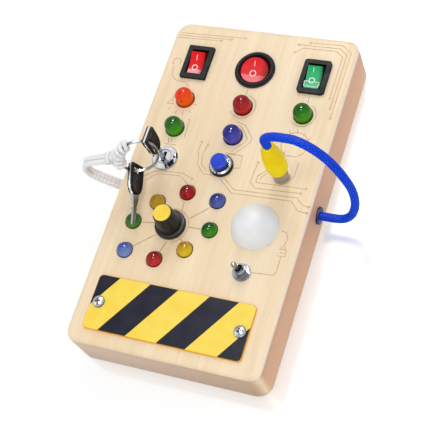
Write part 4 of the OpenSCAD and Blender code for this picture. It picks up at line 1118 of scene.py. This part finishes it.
STRIPE_SLOPE, STRIPE_SHIFT = 0.677, 41.6    # shift in x for each millimetre in y, and at y = 0
STRIPE_PITCH, STRIPE_START = 33.8, 16.6
DARK_SHARE = 0.477
PLATE_EDGE_Z = FACE_Z + 1.22                # below it the plate's edge shows plain yellow


def hazard_plate():
    """Yellow plate with slanting dark bands, laid out by position."""
    f = Finish("hazard_plate", (255, 222, 84), 0.35, Specular_IOR_Level=0.15)
    shift = f.maths("MULTIPLY_ADD", f.axis(1), STRIPE_SLOPE, STRIPE_SHIFT * MM)
    slant = f.maths("SUBTRACT", f.axis(0), shift)
    turns = f.maths("MULTIPLY_ADD", slant, 1 / (STRIPE_PITCH * MM), 10 + STRIPE_START / STRIPE_PITCH)
    dark = f.maths("LESS_THAN", f.maths("FRACT", turns), DARK_SHARE)
    drift = f.grain(0.15)
    tone = f.span(drift, 0.3, 0.7)
    yellow = f.mix(tone, (254, 218, 74), (255, 226, 96))
    navy = f.mix(tone, (13, 15, 36), (19, 21, 42))
    above = f.maths("GREATER_THAN", f.axis(2), PLATE_EDGE_Z * MM)
    f.to("Base Color", f.mix(above, (236, 176, 22), f.mix(dark, yellow, navy)))
    f.to("Roughness", f.span(drift, 0.3, 0.7, 0.34, 0.44))
    f.bump(f.grain(3.0, 1.0), 0.004, 0.2)
    return f


dress(plug_yellow(), "plug_shell")
dress(hazard_plate(), "striped_plate")


# ---------- floor, light and view; places and sizes in metres ----------

FLOOR_HALF, FLOOR_Z = 3, -0.0002
FLOOR_GREY, FLOOR_GLOW = 0.5, 0.84          # the glow lifts the open floor just to white
MIRROR_SHARE, MIRROR_ROUGH = 0.45, 0.15
WORLD_STRENGTH = 0.62


def cleared(owner):
    """Empty node tree of a material or a world."""
    owner.use_nodes = True
    owner.node_tree.nodes.clear()
    return owner.node_tree


def seen_rays(tree):
    """1 for rays that show the background: from the camera, and from gloss or glass."""
    path = wired(tree, "LightPath")
    seen = path.outputs["Is Camera Ray"]
    for ray in ("Is Glossy Ray", "Is Transmission Ray"):
        either = wired(tree, "Math", seen, path.outputs[ray])
        either.operation = "MAXIMUM"
        seen = either.outputs[0]
    return seen


def pale_floor():
    """Pale floor: white where it is seen open, and it keeps the object's shadow and a soft reflection."""
    made = bpy.data.materials.new("floor")
    tree = cleared(made)
    strength = wired(tree, "Math", seen_rays(tree), FLOOR_GLOW)
    strength.operation = "MULTIPLY"
    glow = wired(tree, "Emission", Strength=strength.outputs[0])
    diffuse = wired(tree, "BsdfDiffuse", Color=(FLOOR_GREY, FLOOR_GREY, FLOOR_GREY, 1))
    lit = wired(tree, "AddShader", diffuse.outputs[0], glow.outputs[0])
    mirror = wired(tree, "BsdfGlossy", Roughness=MIRROR_ROUGH)
    polished = wired(tree, "MixShader", MIRROR_SHARE, lit.outputs[0], mirror.outputs[0])
    wired(tree, "OutputMaterial", Surface=polished.outputs[0])
    return made


def studio_world():
    """White where it is seen; a plain soft light, a touch darker overhead, for everything else."""
    world = bpy.data.worlds.new("studio")
    tree = cleared(world)
    coords = wired(tree, "TexCoord")
    split = wired(tree, "SeparateXYZ", coords.outputs["Generated"])
    ramp = wired(tree, "ValToRGB", split.outputs["Z"])
    low, high = ramp.color_ramp.elements
    low.position, low.color = 0.0, (1, 1, 1, 1)
    high.position, high.color = 0.8, (0.96, 0.96, 0.97, 1)
    lit = wired(tree, "Background", Color=ramp.outputs[0], Strength=WORLD_STRENGTH)
    plain = wired(tree, "Background", Strength=1.0)
    mixed = wired(tree, "MixShader", seen_rays(tree), lit.outputs[0], plain.outputs[0])
    wired(tree, "OutputWorld", Surface=mixed.outputs[0])
    return world


def softbox(name, place, target, size, power, sparkle=False):
    """Rectangular lamp aimed at a target; a sparkle lamp only makes highlights and adds no diffuse light."""
    data = bpy.data.lights.new(name, "AREA")
    data.shape = "RECTANGLE"
    data.size, data.size_y = size
    data.energy = power
    obj = bpy.data.objects.new(name, data)
    obj.location = place
    obj.rotation_mode = "QUATERNION"
    obj.rotation_quaternion = (Vector(target) - Vector(place)).to_track_quat("-Z", "Y")
    obj.visible_diffuse = not sparkle
    bpy.context.scene.collection.objects.link(obj)


floor_mesh = bpy.data.meshes.new("floor")
floor_mesh.from_pydata([(x * FLOOR_HALF, y * FLOOR_HALF, 0) for x, y in ((-1, -1), (1, -1), (1, 1), (-1, 1))],
                       [], [(0, 1, 2, 3)])
floor_mesh.materials.append(pale_floor())
floor = bpy.data.objects.new("floor", floor_mesh)
floor.location = (0, 0, FLOOR_Z)
bpy.context.scene.collection.objects.link(floor)

bpy.context.scene.world = studio_world()
softbox("key_high", (-0.15, 1.0, 0.9), (0, 0, 0), (0.5, 0.4), 3.2)
softbox("key_low", (0.1, -0.2, 1.25), (0, 0, 0), (0.5, 0.4), 2.3)
softbox("fill_left", (-0.9, -0.3, 0.6), (0, 0, 0.02), (0.8, 0.6), 1.2)
softbox("fill_right", (0.6, -1.0, 0.6), (0, 0, 0.02), (0.8, 0.6), 2.6)
softbox("sparkle_high", (-0.05, 0.62, 1.0), (0, 0, 0), (0.26, 0.2), 16.0, True)
softbox("sparkle_low", (0.0, -0.05, 1.2), (0, 0, 0), (0.2, 0.12), 8.0, True)

bpy.context.scene.view_settings.view_transform = "Standard"
